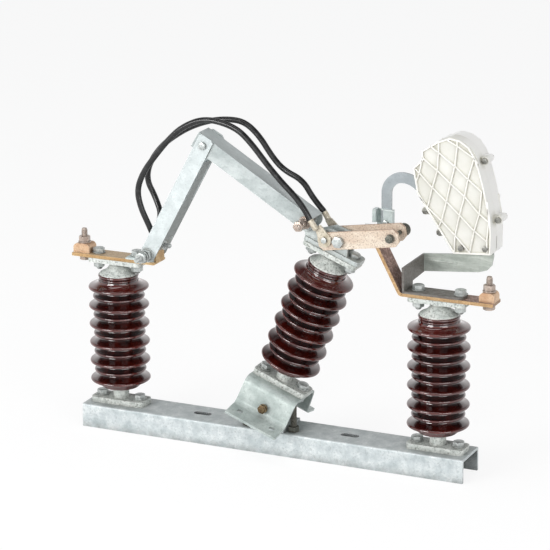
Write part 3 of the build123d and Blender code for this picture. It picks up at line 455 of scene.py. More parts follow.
def ball(radius, height):
    """Its centre lies at 0 and half of it sinks into the stud, so only the radius shapes it."""
    return lathe("ball", arc((0, 0), radius, -90, 90, 10), 32)


MAKERS = {"nut": hexagon, "head": head, "washer": ring, "discs": disc_pair, "ball": ball, "shank": core,
          "thread": thread}
print("kinds of pieces:", list(MAKERS))

# %% [markdown]
# ## One way to build every fastener
# A bolt, a stud and a long pin are the same thing: a row of pieces on one axis. So each is written as a row
# of (kind, where it starts, where it ends, size), in millimetres along its axis. A pattern of each piece is
# modelled the first time it is needed and copied afterwards.

# %% Assemble a row of pieces on an axis
patterns, FIRST_TWIST, NEXT_TWIST = {}, 9, 17
AXES = {"z": Matrix.Identity(4), "y": Matrix.Rotation(-math.pi / 2, 4, "X"),
        "x": Matrix.Rotation(math.pi / 2, 4, "Y")}


def row_on(axis, centre, row):
    """Copies of the patterns, each from its start to its end along the axis; turned nuts don't line up."""
    pieces = []
    for number, (kind, start, end, size) in enumerate(row):
        key = (kind, round(abs(end - start), 2), size)
        if key not in patterns:
            patterns[key] = MAKERS[kind](size, abs(end - start))
        place = {"x": (start, *centre), "y": (centre[0], start, centre[1]), "z": (*centre, start)}[axis]
        flip = Matrix.Rotation(math.pi, 4, "X") if end < start else Matrix.Identity(4)
        twist = Matrix.Rotation(math.radians(FIRST_TWIST + NEXT_TWIST * number + centre[0]), 4, "Z")
        pieces.append(copy_at(patterns[key], "piece", moved(*place) @ AXES[axis] @ flip @ twist))
    return pieces


def bolt_row(size, head_seat, nut_seat, tail=5, washers=(True, True)):
    """Head, nut, free thread and washers of one bolt, as rows along its axis."""
    bolt, way = BOLTS[size], 1 if nut_seat > head_seat else -1
    under_head = head_seat - way * bolt.wall * washers[0]
    under_nut = nut_seat + way * bolt.wall * washers[1]
    row = [("head", under_head, under_head - way * bolt.head, bolt.flats),
           ("shank", under_head, under_nut, bolt.radius),
           ("nut", under_nut, under_nut + way * bolt.nut, bolt.flats),
           ("thread", under_nut, under_nut + way * (bolt.nut + tail), size)]
    for wanted, seat, face in zip(washers, (head_seat, nut_seat), (under_head, under_nut)):
        if wanted:
            row.append(("washer", seat, face, (bolt.radius, bolt.washer)))
    return row


def stacked(start, way, pieces):
    """Pieces one after another, each (kind, size, thickness); a gap leaves the thread bare."""
    row = []
    for kind, size, thickness in pieces:
        if kind != "gap":
            row.append((kind, start, start + way * thickness, size))
        start += way * thickness
    return row


def fasten(part, body, *rows, slot="zinc_bolts", place=None):
    """Joins the rows of one fastener into one piece that replaces its part of the frame."""
    piece = smooth(join([piece for row in rows for piece in row_on(*row)], f"made_{part}"), 30)
    if place is not None:
        piece.data.transform(place)
    mount(piece, body, slot, part)


print("rows run along", list(AXES))

# %% [markdown]
# ## Bolts of the posts
# Each post has two M12 bolts through its base flange and two through its top flange. The heads are up. On
# the rocker the same rows are made upright and then leaned with its matrix.

# %% Bolt the posts down
CHANNEL_WALL, BASE_FLANGE, UNDER_TOP, PLATE, ROCKER_PLATE, BOLT_SPREAD = 5, 10, 276, 290, 330, 40


def two_bolts(part, body, x, nut_seat, head_seats, place=None, **options):
    fasten(part, body, *[("z", (x + side * BOLT_SPREAD, 0), bolt_row(12, seat, nut_seat, **options))
                         for side, seat in zip((-1, 1), head_seats)], place=place)


for side, x in (("left", -POST), ("right", POST)):
    two_bolts(f"{side}_base_bolts", "base", x, -CHANNEL_WALL, (BASE_FLANGE, BASE_FLANGE))
two_bolts("left_top_bolts", "base", -POST, UNDER_TOP, (PLATE, PLATE + 3.5))
two_bolts("right_top_bolts", "base", POST, UNDER_TOP, (PLATE + 4, PLATE + 4))
two_bolts("rocker_base_bolts", "rocker", 0, SADDLE - CHANNEL_WALL, 2 * [SADDLE + BASE_FLANGE], ON_ROCKER,
          washers=(True, False))
two_bolts("rocker_top_bolts", "rocker", 0, SADDLE + UNDER_TOP, 2 * [ROCKER_PLATE], ON_ROCKER,
          washers=(False, True))

# %% [markdown]
# ## Pins of the links
# The pins of the links end in long rows of washers and nuts on the near side, which is where a fitter
# adjusts them. Each pin is M10, plain in its middle and threaded at both ends.

# %% Make the pins of the links
def at(point):
    """A place in the XZ plane, in millimetres."""
    return point.x / MM, point.z / MM


def washer(radius, bore=5, wall=2):
    return "washer", (bore, radius), wall


def pin(half, near_end, far_end, near, far):
    """The rows of a pin: its plain middle reaches half to each side, and then the pieces are stacked."""
    row = [("shank", -half, half, 5), ("thread", -half, near_end, 10), ("thread", half, far_end, 10)]
    return row + stacked(-half, -1, near) + stacked(half, 1, far)


ANCHOR, ROCKER_PIN, KNEE = at(JOINT_AT["lower_link_swing"]), at(JOINT_AT["upper_link_swing"]), (-130, 523)
ANCHOR_HALF, PIN_HALF, KNEE_HALF = 24.3, 21, 24
WIDE_NUT, NUT, SLIM_NUT = ("nut", 19, 8.4), ("nut", 17, 8.4), ("nut", 16, 8.4)
anchor = pin(ANCHOR_HALF, -70, 38.3, far=[washer(10), NUT],
             near=[washer(13), WIDE_NUT, washer(11), ("gap", 0, 6), washer(12), WIDE_NUT])
upper = pin(PIN_HALF, -62, 32, far=[SLIM_NUT],
            near=[washer(12), WIDE_NUT, washer(10), ("gap", 0, 3), NUT, washer(9), NUT])
fasten("anchor_pin", "base", ("y", ANCHOR, anchor))
fasten("rocker_pin", "rocker", ("y", ROCKER_PIN, upper))
fasten("knee_bolt", "lower_link", ("y", KNEE, bolt_row(8, -KNEE_HALF, KNEE_HALF, washers=(False, True))))

# %% [markdown]
# The bolts of the blade, the horn and the chute are smaller. Disc springs on the far side press the blade's
# end on the contact.

# %% Make the small bolts
BLADE_BOLT, PALM, SPRING_BOLT, HORN_SCREW = (138.4, 373.2), (112, 374), (238, 390.2), (187.75, 388)
CHUTE_Y, CHUTE_HALF, EAR_HALF, HORN_GRIP, BLADE_HALF, PALM_HALF = 80, 28, 14.15, 5.25, 26, 29
CHUTE_BOLTS, EAR_BOLTS = ((342, 364), (388, 368)), ((268, 421.5), (296, 384.5), (379, 524), (406, 419))
SPRING_NEAR, SPRING_THREAD, SPRING_PLAIN, SPRING_FAR, TAB = -38, 46, 48, 60, (0, 319.5)


def bare_bolt(centre, half, middle=CHUTE_Y):
    return "y", centre, bolt_row(6, middle - half, middle + half, tail=2, washers=(False, False))


spring = [("shank", -BLADE_HALF, SPRING_PLAIN, 4), ("thread", -BLADE_HALF, SPRING_NEAR, 8),
          ("thread", SPRING_THREAD, SPRING_FAR, 8)]
spring += stacked(-BLADE_HALF, -1, [washer(8, 4, 1.6), ("nut", 13, 6.8)])
discs = 3 * [("discs", 12, 4), washer(7, 4, 1.5)]
spring += stacked(BLADE_HALF, 1, [washer(8, 4, 1.6), *discs, ("nut", 13, 6.8)])
blade = bolt_row(12, -BLADE_HALF, BLADE_HALF, washers=(False, True))
fasten("blade_bolts", "rocker", ("y", BLADE_BOLT, blade), bare_bolt(PALM, PALM_HALF, 0))
fasten("horn_screws", "rocker", bare_bolt(HORN_SCREW, HORN_GRIP))
fasten("chute_bolts", "base", *[bare_bolt(centre, CHUTE_HALF) for centre in CHUTE_BOLTS],
       *[bare_bolt(centre, EAR_HALF) for centre in EAR_BOLTS])
fasten("tab_bolt", "base", ("x", TAB, bolt_row(10, -245, -233, tail=12, washers=(False, True))))
fasten("contact_spring_bolt", "rocker", ("y", SPRING_BOLT, spring))

# %% [markdown]
# The pivot bolt is a thick plain journal with a thinner threaded end, so that its nut can be pulled tight
# without pinching the saddle. The stop studs end in a ball, so that the saddle lands on a point whatever
# its angle. The clamp studs stand well above their nuts, because the lug of the line goes under the keeper.

# %% Make the pivot bolt, the stops and the clamp studs
CLAMPS = [sum(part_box(f"{side}_conductor_keeper")[i].x for i in (0, 1)) / 2 / MM for side in ("left", "right")]
STOPS, STOP_LOW, STOP_HIGH, BALL = ((46, -20), (-46, -20)), -19, 58.58, 6
PIVOT_SEAT, PIVOT_END, CLAMP_FOOT, CLAMP_TOP = 52.71, -64.5, 284, 307
stop = [("thread", STOP_LOW, STOP_HIGH, 12), ("ball", STOP_HIGH, STOP_HIGH + BALL, BALL), ("nut", 0, 10, 19),
        ("nut", -15, -5, 19)]
fasten("stop_bolts", "base", *[("z", centre, stop) for centre in STOPS])
pivot = [("head", PIVOT_SEAT, PIVOT_SEAT + 7.5, 19), ("shank", PIVOT_SEAT, -PIVOT_SEAT, 6),
         ("thread", -PIVOT_SEAT, PIVOT_END, 10)]
pivot += stacked(-PIVOT_SEAT, -1, [washer(8.6, 5, 1.6), ("nut", 15, 6.8)])
fasten("pivot_bolt", "base", ("y", at(PIVOT), pivot))
fasten("clamp_studs", "base", *[("z", (x, 0), bolt_row(12, CLAMP_FOOT, CLAMP_TOP, tail=15)) for x in CLAMPS],
       slot="clamp_brass")
for pattern in patterns.values():
    bpy.data.objects.remove(pattern)

# %% [markdown]
# ## Ribs of the arc chute
# Crossing ribs stand up on both outer walls of the chute like a net of diamonds, and a rim follows the
# edge. They stiffen the thin wall against the pressure of an arc. A rib is a chain of points drawn on the
# wall, extruded outwards, given its thickness by Solidify, and softened by a small bevel.

# %% Lines of the ribs
# Each falling rib has the knots where steep ribs cross it, as {steep rib: (x, z)}, in millimetres.
KNOTS = [
    {2: (333, 550), 3: (365, 531)},
    {1: (298, 535), 2: (329, 513), 3: (354, 492), 4: (380, 472)},
    {1: (296, 502), 2: (321, 481), 3: (348, 460), 4: (376, 431), 5: (394, 418)},
    {0: (262, 494), 1: (287, 470), 2: (314, 447), 3: (339, 425), 4: (367, 399), 5: (391, 382)},
    {1: (278, 433), 2: (305, 411), 3: (331, 387), 4: (359, 358)},
]
STARTS, ENDS = [(313, 560), (281, 546), (267, 523), (254, 501), (263, 451)], {0: (372, 522)}
TOPS = {0: (267, 521), 1: (298, 552), 2: (333, 559), 5: (391, 455)}
FEET = {0: (256, 478), 2: (299, 398), 3: (330, 356), 5: (392, 359)}


def chain(*points):
    """A rib goes through those of the points that it has."""
    return [point for point in points if point]


FALLING = [chain(STARTS[row], *knots.values(), ENDS.get(row)) for row, knots in enumerate(KNOTS)]
STEEP = [chain(TOPS.get(line), *[knots.get(line) for knots in KNOTS], FEET.get(line)) for line in range(6)]
EDGE = [(328.5, 353), (398.4, 357.7), (399, 395), (396.8, 425), (390, 453), (383, 484), (374, 513),
        (366, 533), (355, 550), (338, 560.5), (318, 563.5), (295, 554), (265.5, 535), (266.5, 519),
        (249.5, 502), (252, 489), (258, 457), (276.7, 429)]
print(len(FALLING) + len(STEEP), "ribs and a rim of", len(EDGE), "corners")

# %% [markdown]
# The rim's outline is closed with one more edge before it is extruded. Its thickness goes inwards only, so
# that it stays on the wall. The same strokes on the far wall go the other way.

# %% Raise the ribs
RIB_HIGH, RIB_WIDE, RIM_WIDE, RIB_ROOT = 3.6, 2.3, 2.99, 0.4


def raised(points, way, closed=False):
    """One rib or rim on the near wall (way -1) or the far wall (way 1)."""
    wall = CHUTE_Y + way * (CHUTE_HALF - RIB_ROOT)
    draw([(x, wall, z) for x, z in points])
    if closed:
        bpy.ops.mesh.select_all(action="DESELECT")
        mode("OBJECT")
        corners = bpy.context.object.data.vertices
        corners[0].select = corners[len(corners) - 1].select = True
        mode("EDIT")
        bpy.ops.mesh.edge_face_add()
    whole()
    outwards = {"value": (0, way * (RIB_HIGH + RIB_ROOT) * MM, 0)}
    bpy.ops.mesh.extrude_region_move(TRANSFORM_OT_translate=outwards)
    outward()
    rib = bpy.context.object
    modify(rib, "SOLIDIFY", thickness=(RIM_WIDE if closed else RIB_WIDE) * MM, offset=-1 if closed else 0,
           use_even_offset=True)
    return modify(rib, "BEVEL", width=0.6 * MM, segments=2, limit_method="ANGLE",
                  angle_limit=math.radians(50))


for half, way in (("front", -1), ("rear", 1)):
    bars = [raised(line, way) for line in FALLING + STEEP] + [raised(EDGE, way, closed=True)]
    piece = smooth(join(bars, f"chute_ribs_{half}"), 40)
    mode("EDIT")
    outward()
    mount(piece, "base", "chute_plastic")

# %% [markdown]
# The bracket's arm has a short bead pressed into it, which stiffens the bend at its root. It is a capsule
# from the lathe, laid along the arm and half sunk in it.

# %% Press the bead of the bracket
BEAD_HIGH, BEAD_FROM, BEAD_TO, ARM_FACE, BEAD_AT = 1.7, 272, 324, 78, 327
ends = arc((0, 0), BEAD_HIGH, -90, 0, 5) + arc((0, BEAD_TO - BEAD_FROM), BEAD_HIGH, 0, 90, 5)
bead = smooth(lathe("bracket_bead", ends, 20), 60)
bead.data.transform(moved(BEAD_FROM, ARM_FACE, BEAD_AT) @ AXES["x"])
mount(bead, "base", "galvanised")

# %% [markdown]
# ## Materials: the small tools
# A procedural finish is a chain of nodes. These helpers add a node and feed its sockets, so that each
# finish reads as a short recipe. Colours are written as the eye reads them, from 0 to 255, and turned into
# the linear numbers that shaders use.

# %% Node helpers
def tone(*levels):
    return tuple(((v / 255 + 0.055) / 1.055) ** 2.4 if v > 10 else v / 3294.6 for v in levels) + (1.0,)


def feed(tree, socket, value):
    if isinstance(value, bpy.types.NodeSocket):
        tree.links.new(value, socket)
    else:
        socket.default_value = value


def node(tree, kind, settings=(), **inputs):
    made = tree.nodes.new("ShaderNode" + kind)
    for name, value in dict(settings).items():
        setattr(made, name, value)
    for name, value in inputs.items():
        feed(tree, made.inputs[name.replace("_", " ")], value)
    return made


def calc(tree, operation, *values, kind="Math", result=0):
    made = node(tree, kind, {"operation": operation})
    for socket, value in zip(made.inputs, values):
        feed(tree, socket, value)
    return made.outputs[result]


def product(tree, *values):
    result = values[0]
    for value in values[1:]:
        result = calc(tree, "MULTIPLY", result, value)
    return result


def spread(tree, value, low, high, new_low=0.0, new_high=1.0):
    """Stretches a value between low and high to a new range, and cuts off what lies outside."""
    return node(tree, "MapRange", Value=value, From_Min=low, From_Max=high, To_Min=new_low,
                To_Max=new_high).outputs[0]


def place_of(tree):
    """Where the point lies on its own part, in metres."""
    return node(tree, "TexCoord").outputs["Object"]


def noise(tree, where, size, detail=4.0, rough=0.55):
    """Noise whose blobs are about size metres across."""
    scale = calc(tree, "DIVIDE", 1.0, size)
    return node(tree, "TexNoise", Vector=where, Scale=scale, Detail=detail, Roughness=rough).outputs[0]


print("a mid grey is", round(tone(128)[0], 3))

# %% [markdown]
# ## Materials: shared effects
# Old outdoor metal shows the same few effects again and again: cloudy patches, zinc crystals, bright worn
# edges, which are partly painted highlight, dirt and painted shade in the corners, and a fine rough surface.
# Two more effects paint shade in the hollows of a part and paint light and shade by which way a face looks.
# Each is built once as a node group, with inputs for its size and strength.

# %% Build the groups
ROUND = (1.0, 1.0, 1.0)


def effect(recipe, name, **inputs):
    """A node group with the given inputs, whose outputs are what the recipe returns by name."""
    tree = bpy.data.node_groups.new(name, "ShaderNodeTree")
    for label, value in inputs.items():
        kind = "NodeSocketVector" if isinstance(value, tuple) else "NodeSocketFloat"
        tree.interface.new_socket(label, in_out="INPUT", socket_type=kind).default_value = value
    results = recipe(tree, tree.nodes.new("NodeGroupInput").outputs)
    for label in results:
        tree.interface.new_socket(label, in_out="OUTPUT", socket_type="NodeSocketFloat")
    ends = tree.nodes.new("NodeGroupOutput").inputs
    for label, value in results.items():
        tree.links.new(value, ends[label])


def cloudy(tree, given):
    """Soft patches: Stretch below 1 draws them out along that axis."""
    where = calc(tree, "MULTIPLY_ADD", place_of(tree), given["Stretch"], given["Shift"], kind="VectorMath")
    cloud = calc(tree, "SUBTRACT", noise(tree, where, given["Size"], 5.0, 0.6), 0.5)
    return {"Mask": spread(tree, product(tree, cloud, given["Contrast"], 2.4), -0.5, 0.5)}


def crystals(tree, given):
    """Zinc crystals: each cell has its own grey, and the borders between cells are narrow lines."""
    bent = node(tree, "TexNoise", Vector=place_of(tree), Scale=160.0, Detail=2.0).outputs[1]
    where = calc(tree, "MULTIPLY_ADD", bent, (0.003, 0.003, 0.003), place_of(tree), kind="VectorMath")
    scale = calc(tree, "DIVIDE", 1.0, given["Size"])
    cells = node(tree, "TexVoronoi", Vector=where, Scale=scale).outputs["Color"]
    border = node(tree, "TexVoronoi", {"feature": "DISTANCE_TO_EDGE"}, Vector=where, Scale=scale).outputs[0]
    return {"Cells": node(tree, "SeparateColor", Color=cells).outputs[0],
            "Borders": spread(tree, border, 0.0, 0.12, 1.0, 0.0)}


def worn_and_lit(tree, given):
    """Sharp outer edges, broken up, for wear, thin glaze and painted highlight: a rounded normal is compared
    with the true one.
    """
    round_normal = node(tree, "Bevel", {"samples": 6}, Radius=given["Radius"]).outputs[0]
    true_normal = node(tree, "NewGeometry").outputs["Normal"]
    match = calc(tree, "DOT_PRODUCT", round_normal, true_normal, kind="VectorMath", result="Value")
    kept = spread(tree, noise(tree, place_of(tree), 0.004, 3.0), product(tree, given["Broken"], 0.6), 0.62)
    return {"Mask": product(tree, spread(tree, match, 0.985, 0.86), kept)}


def corner_dirt(tree, given):
    """Darkens where surfaces meet, as dirt and as painted shade, thicker in some places."""
    open_air = node(tree, "AmbientOcclusion", {"samples": 6}, Distance=given["Reach"]).outputs["AO"]
    patches = spread(tree, noise(tree, place_of(tree), 0.018), 0.3, 0.65)
    thick = calc(tree, "MULTIPLY_ADD", patches, 0.6, 0.4)
    return {"Mask": product(tree, spread(tree, open_air, 0.95, 0.35), thick, given["Amount"])}


def deep_hollow(tree, given):
    """Painted shade inside the part itself, such as under the web of a channel."""
    open_air = node(tree, "AmbientOcclusion", {"samples": 6, "only_local": True}, Distance=given["Reach"])
    return {"Mask": product(tree, spread(tree, open_air.outputs["AO"], 0.9, 0.6), given["Amount"])}


def rough_skin(tree, given):
    """The fine lumps and pits of dipped zinc, cast iron or sawn bar."""
    where = calc(tree, "MULTIPLY", place_of(tree), given["Stretch"], kind="VectorMath")
    lumps = noise(tree, where, given["Size"], 3.0, 0.6)
    sparse = spread(tree, noise(tree, where, product(tree, given["Size"], 1.9), 2.0, 0.5), 0.6, 0.7)
    pits = product(tree, sparse, given["Pits"])
    return {"Height": calc(tree, "SUBTRACT", lumps, product(tree, pits, 0.8)), "Pits": pits}


def weather_side(tree, given):
    """Painted light and shade on the surfaces that face one way, broken up a little."""
    normal = node(tree, "TexCoord").outputs["Normal"]
    match = calc(tree, "DOT_PRODUCT", normal, given["Facing"], kind="VectorMath", result="Value")
    uneven = product(tree, calc(tree, "SUBTRACT", noise(tree, place_of(tree), 0.012), 0.5), given["Broken"])
    return {"Mask": spread(tree, calc(tree, "ADD", match, uneven), 0.45, 0.75)}


effect(cloudy, "cloudy_patches", Size=0.03, Contrast=1.0, Stretch=ROUND, Shift=0.0)
effect(crystals, "zinc_crystals", Size=0.005)
effect(worn_and_lit, "worn_edges", Radius=0.0012, Broken=0.5)
effect(corner_dirt, "corner_dirt", Reach=0.012, Amount=1.0)
effect(deep_hollow, "deep_hollow", Reach=0.08, Amount=1.0)
effect(rough_skin, "rough_skin", Size=0.0015, Pits=0.5, Stretch=ROUND)
effect(weather_side, "weather_side", Facing=(0.0, 0.0, 1.0), Broken=0.3)
print("groups", [group.name for group in bpy.data.node_groups])

# %% [markdown]
# ## Materials: the shape of a recipe
# Every finish ends in one Principled shader. Its fixed numbers are set on the shader's own sockets. Its
# colour is laid on in coats, each through a mask that an effect gives.

# %% Start, coats and end of a recipe
class Finish:
    def __init__(self, name, colour, metallic=0.0, **fixed):
        material = bpy.data.materials.new(name)
        material.use_nodes = True
        self.tree = material.node_tree
        self.tree.nodes.clear()
        self.shader = node(self.tree, "BsdfPrincipled", Metallic=metallic, **fixed)
        self.tree.links.new(self.shader.outputs[0], node(self.tree, "OutputMaterial").inputs["Surface"])
        self.colour = tone(*colour)

    def place(self, effect_name, **inputs):
        """All outputs of one effect, placed with these inputs."""
        group = self.tree.nodes.new("ShaderNodeGroup")
        group.node_tree = bpy.data.node_groups[effect_name]
        for label, value in inputs.items():
            feed(self.tree, group.inputs[label], value)
        return group.outputs

    def spread(self, value, *limits):
        return spread(self.tree, value, *limits)

    def coat(self, colour, mask, *amounts, **inputs):
        """Lays a colour on where a mask or the effect of that name is, as strongly as the amounts say."""
        if isinstance(mask, str):
            mask = self.place(mask, **inputs)["Mask"]
        mix = node(self.tree, "Mix", {"data_type": "RGBA"})
        for number, value in ((0, product(self.tree, mask, *amounts)), (6, self.colour), (7, tone(*colour))):
            feed(self.tree, mix.inputs[number], value)
        self.colour = mix.outputs[2]

    def done(self, rough, height=None, depth=0.0):
        """Depth is in metres, from the lowest to the highest point of the height."""
        feed(self.tree, self.shader.inputs["Base Color"], self.colour)
        feed(self.tree, self.shader.inputs["Roughness"], rough)
        if height is not None:
            bump = node(self.tree, "Bump", Height=height, Distance=depth, Strength=1.0)
            feed(self.tree, self.shader.inputs["Normal"], bump.outputs[0])


GRIME_AND_SHADE = (84, 84, 78)
print("grime is", [round(v, 3) for v in tone(*GRIME_AND_SHADE)])

# %% [markdown]
# ## Galvanised steel
# Steel that stands outdoors is dipped in molten zinc. The coat is pale, slightly blue-green, and freezes in
# crystals; where it is old it turns darker in patches. Painted shade darkens the corners, the hollows and some
# faces by which way they look, painted light brightens others, and the pale worn edges are partly painted
# highlight. The foot of the strip that carries the chute kept its brown mill scale.

# %% Mix the zinc finishes
def dipped_zinc(name, pale, dark, crystal, metallic=0.2, dirt=0.6, reach=0.012, grain=0.005, patch=0.03,
                rough=(0.42, 0.62), stretch=ROUND, side=None, scale=None, hollow=0.0):
    """Side is (direction, colour, strength) of painted light and shade on the faces that look that way; scale
    is (colour, the depth before which it lies).
    """
    zinc = Finish(name, dark, metallic)
    small = zinc.place("cloudy_patches", Size=patch * 0.22, Contrast=1.6, Shift=4.0, Stretch=stretch)["Mask"]
    crystals = zinc.place("zinc_crystals", Size=grain)
    skin = zinc.place("rough_skin", Size=0.0018, Pits=0.7)
    zinc.coat(pale, "cloudy_patches", Size=patch, Contrast=1.3, Stretch=stretch)
    zinc.coat(dark, zinc.spread(small, 0.62, 0.95), 0.55)
    zinc.coat(crystal, zinc.spread(crystals["Cells"], 0.25, 1.0), 0.4)
    zinc.coat(dark, crystals["Borders"], 0.16)
    zinc.coat(GRIME_AND_SHADE, skin["Pits"], 0.3)
    # Painted light and shade on the faces that look the side's way.
    if side:
        zinc.coat(side[1], "weather_side", side[2], Facing=side[0])
    # Pale edges: wear, with painted highlight.
    zinc.coat((244, 247, 246), "worn_edges", 0.7)
    if scale:
        depth = node(zinc.tree, "SeparateXYZ", Vector=place_of(zinc.tree)).outputs["Y"]
        uneven = calc(zinc.tree, "MULTIPLY_ADD", small, -0.25, 0.95)
        zinc.coat(scale[0], zinc.spread(depth, scale[1], scale[1] - 2 * MM), uneven)
    # Darker where surfaces meet: dirt, with painted shade.
    zinc.coat(GRIME_AND_SHADE, "corner_dirt", Amount=dirt, Reach=reach)
    # Painted shade inside the part, under the web of the channel and in the saddle.
    zinc.coat((44, 44, 42), "deep_hollow", Amount=hollow)
    height = calc(zinc.tree, "MULTIPLY_ADD", crystals["Cells"], 0.25, skin["Height"])
    zinc.done(zinc.spread(crystals["Cells"], 0.0, 1.0, *rough), height, 0.12 * MM)


UP = (0, 0, 1)
# The side colours are painted shade on the tops of the channel and the carrier, on the left of the saddle and
# on the lower link's web, and painted light on the upper link's top.
dipped_zinc("zinc_pale", (226, 233, 231), (186, 199, 197), (208, 219, 217), dirt=0.4)
dipped_zinc("zinc_channel", (228, 233, 233), (178, 188, 190), (206, 214, 215), patch=0.022, dirt=0.8,
            reach=0.02, side=(UP, (168, 172, 170), 0.3), hollow=0.9)
dipped_zinc("zinc_saddle", (206, 215, 211), (162, 174, 170), (190, 201, 197), patch=0.025, dirt=0.5,
            side=((-1.0, 0, 0.25), (150, 162, 158), 0.4), hollow=0.4)
dipped_zinc("zinc_link", (222, 229, 229), (196, 204, 204), (212, 220, 220), patch=0.02, dirt=0.5, grain=0.003,
            side=((0.88, 0, -0.47), (108, 113, 110), 0.8))
dipped_zinc("zinc_upper_link", (216, 222, 221), (160, 169, 168), (190, 199, 198), dirt=0.2, grain=0.0035,
            side=((0.5, 0, 0.87), (206, 212, 212), 0.5), stretch=(0.35, 1.0, 0.6))
dipped_zinc("zinc_carrier", (214, 221, 219), (176, 184, 182), (198, 206, 204), patch=0.015, dirt=0.7,
            grain=0.003, side=(UP, (148, 154, 150), 0.3))
dipped_zinc("zinc_bracket", (208, 214, 207), (162, 170, 162), (188, 196, 188), metallic=0.25, patch=0.02,
            dirt=0.4, grain=0.0025, stretch=(0.4, 1.0, 1.6), scale=((90, 80, 76), 0.0765))
dipped_zinc("zinc_horn", (176, 183, 186), (158, 166, 170), (168, 175, 178), metallic=0.3, dirt=0.2,
            grain=0.002, rough=(0.36, 0.46))
dipped_zinc("zinc_bolt", (218, 222, 220), (156, 162, 160), (194, 199, 197), metallic=0.5, patch=0.008,
            dirt=1.0, reach=0.008, grain=0.002, rough=(0.3, 0.45))
print("finishes so far", [material.name for material in bpy.data.materials])

# %% [markdown]
# ## Cast iron and cement
# The end fittings are cast iron, galvanised and then cemented to the porcelain. Their skin is rough, with
# many small dark pits.

# %% Mix the cast iron
iron = Finish("cast_fitting", (196, 202, 197), 0.15)
spots = iron.place("cloudy_patches", Size=0.004, Contrast=1.8, Shift=3.0)["Mask"]
skin = iron.place("rough_skin", Size=0.0022, Pits=1.0)
iron.coat((229, 232, 227), "cloudy_patches", Size=0.014, Contrast=1.4)
iron.coat((134, 140, 134), iron.spread(spots, 0.6, 0.95), 0.55)
iron.coat(GRIME_AND_SHADE, skin["Pits"], 0.6)
# Darker where surfaces meet: dirt, with painted shade.
iron.coat((96, 94, 86), "corner_dirt", Amount=0.6)
# Pale edges: wear, with painted highlight.
iron.coat((236, 238, 234), "worn_edges", 0.6)
iron.done(iron.spread(spots, 0.0, 1.0, 0.5, 0.72), skin["Height"], 0.5 * MM)
print("cast iron of", len(iron.tree.nodes), "nodes")

# %% [markdown]
# ## Brown glaze
# Porcelain for outdoor posts is dipped in a brown iron glaze. It is a dark red-brown that turns red where it
# runs thin at a rim, and painted shade makes it almost black between the sheds. The colour changes slowly
# over a post; the gloss comes from the shader, with a full clear coat as smooth as glass.

# %% Mix the glaze
glaze = Finish("brown_glaze", (62, 15, 11), Coat_Weight=1.0, Coat_Roughness=0.03, Coat_IOR=1.75,
               Coat_Tint=(1.0, 0.93, 0.94, 1.0), Specular_IOR_Level=0.15)
slow = glaze.place("cloudy_patches", Size=0.05, Contrast=1.2, Stretch=(1.0, 1.0, 0.5))["Mask"]
glaze.coat((92, 27, 18), slow)
glaze.coat((140, 56, 40), "worn_edges", 0.6, Radius=2.5 * MM, Broken=0.0)
# Near-black between the sheds and at their roots: painted shade.
glaze.coat((10, 3, 3), "corner_dirt", Reach=0.045, Amount=1.25)
glaze.coat((36, 10, 9), glaze.place("rough_skin", Size=0.0012, Pits=1.0)["Pits"], 0.35)
glaze.done(glaze.spread(slow, 0.0, 1.0, 0.08, 0.14),
           glaze.place("cloudy_patches", Size=0.03, Contrast=0.6, Shift=7.0)["Mask"], 0.2 * MM)
print("glaze of", len(glaze.tree.nodes), "nodes")

# %% [markdown]
# ## Bare copper, bronze and old steel
# The current path is bare copper that has dulled: the terminal bars are golden orange on their edges, where
# wear and painted highlight meet, and the blade bars are pale pink and speckled. Painted light and shade give
# the faces that look up another colour: a duller beige on the terminal plate, a dark pinkish brown on the
# contact, and browner tops on the blade bars and the bronze. Bronze clamps and pins are pinkish and brighter.
# Bare steel ages in the same way, so one recipe serves them all.

# %% Mix the copper finishes
def dull_metal(name, bright, mid, dark, edge, metallic=0.5, rough=(0.38, 0.6), stretch=ROUND, spots=0.5,
               patch=0.02, skin=0.15, side=None, dots=0.0):
    """Side is (direction, colour, strength) of painted light and shade on the faces that look that way; dots
    are pale specks on that side; skin is in millimetres.
    """
    metal = Finish(name, mid, metallic)
    small = metal.place("cloudy_patches", Size=patch * 0.16, Contrast=1.6, Shift=5.0)["Mask"]
    rind = metal.place("rough_skin", Size=0.0014, Pits=1.0, Stretch=stretch)
    metal.coat(bright, "cloudy_patches", Size=patch, Contrast=1.3, Stretch=stretch)
    if side:
        faced = metal.place("weather_side", Facing=side[0])["Mask"]
        specks = metal.spread(metal.place("zinc_crystals", Size=0.004)["Cells"], 0.55, 0.75)
        # Painted light and shade on the faces that look the side's way; the pale specks on them are the metal's
        # own.
        metal.coat(side[1], faced, side[2])
        metal.coat((186, 156, 146), specks, faced, dots)
    metal.coat(dark, metal.spread(small, 0.55, 0.95), spots)
    metal.coat(dark, rind["Pits"], 0.5 * spots)
    # Brighter edges: wear, with painted highlight.
    metal.coat(edge, "worn_edges", 0.8, Broken=0.2)
    # Darker where surfaces meet: dirt, with painted shade.
    metal.coat((84, 62, 50), "corner_dirt", Amount=0.5, Reach=0.006)
    metal.done(metal.spread(small, 0.0, 1.0, *rough), rind["Height"], skin * MM)


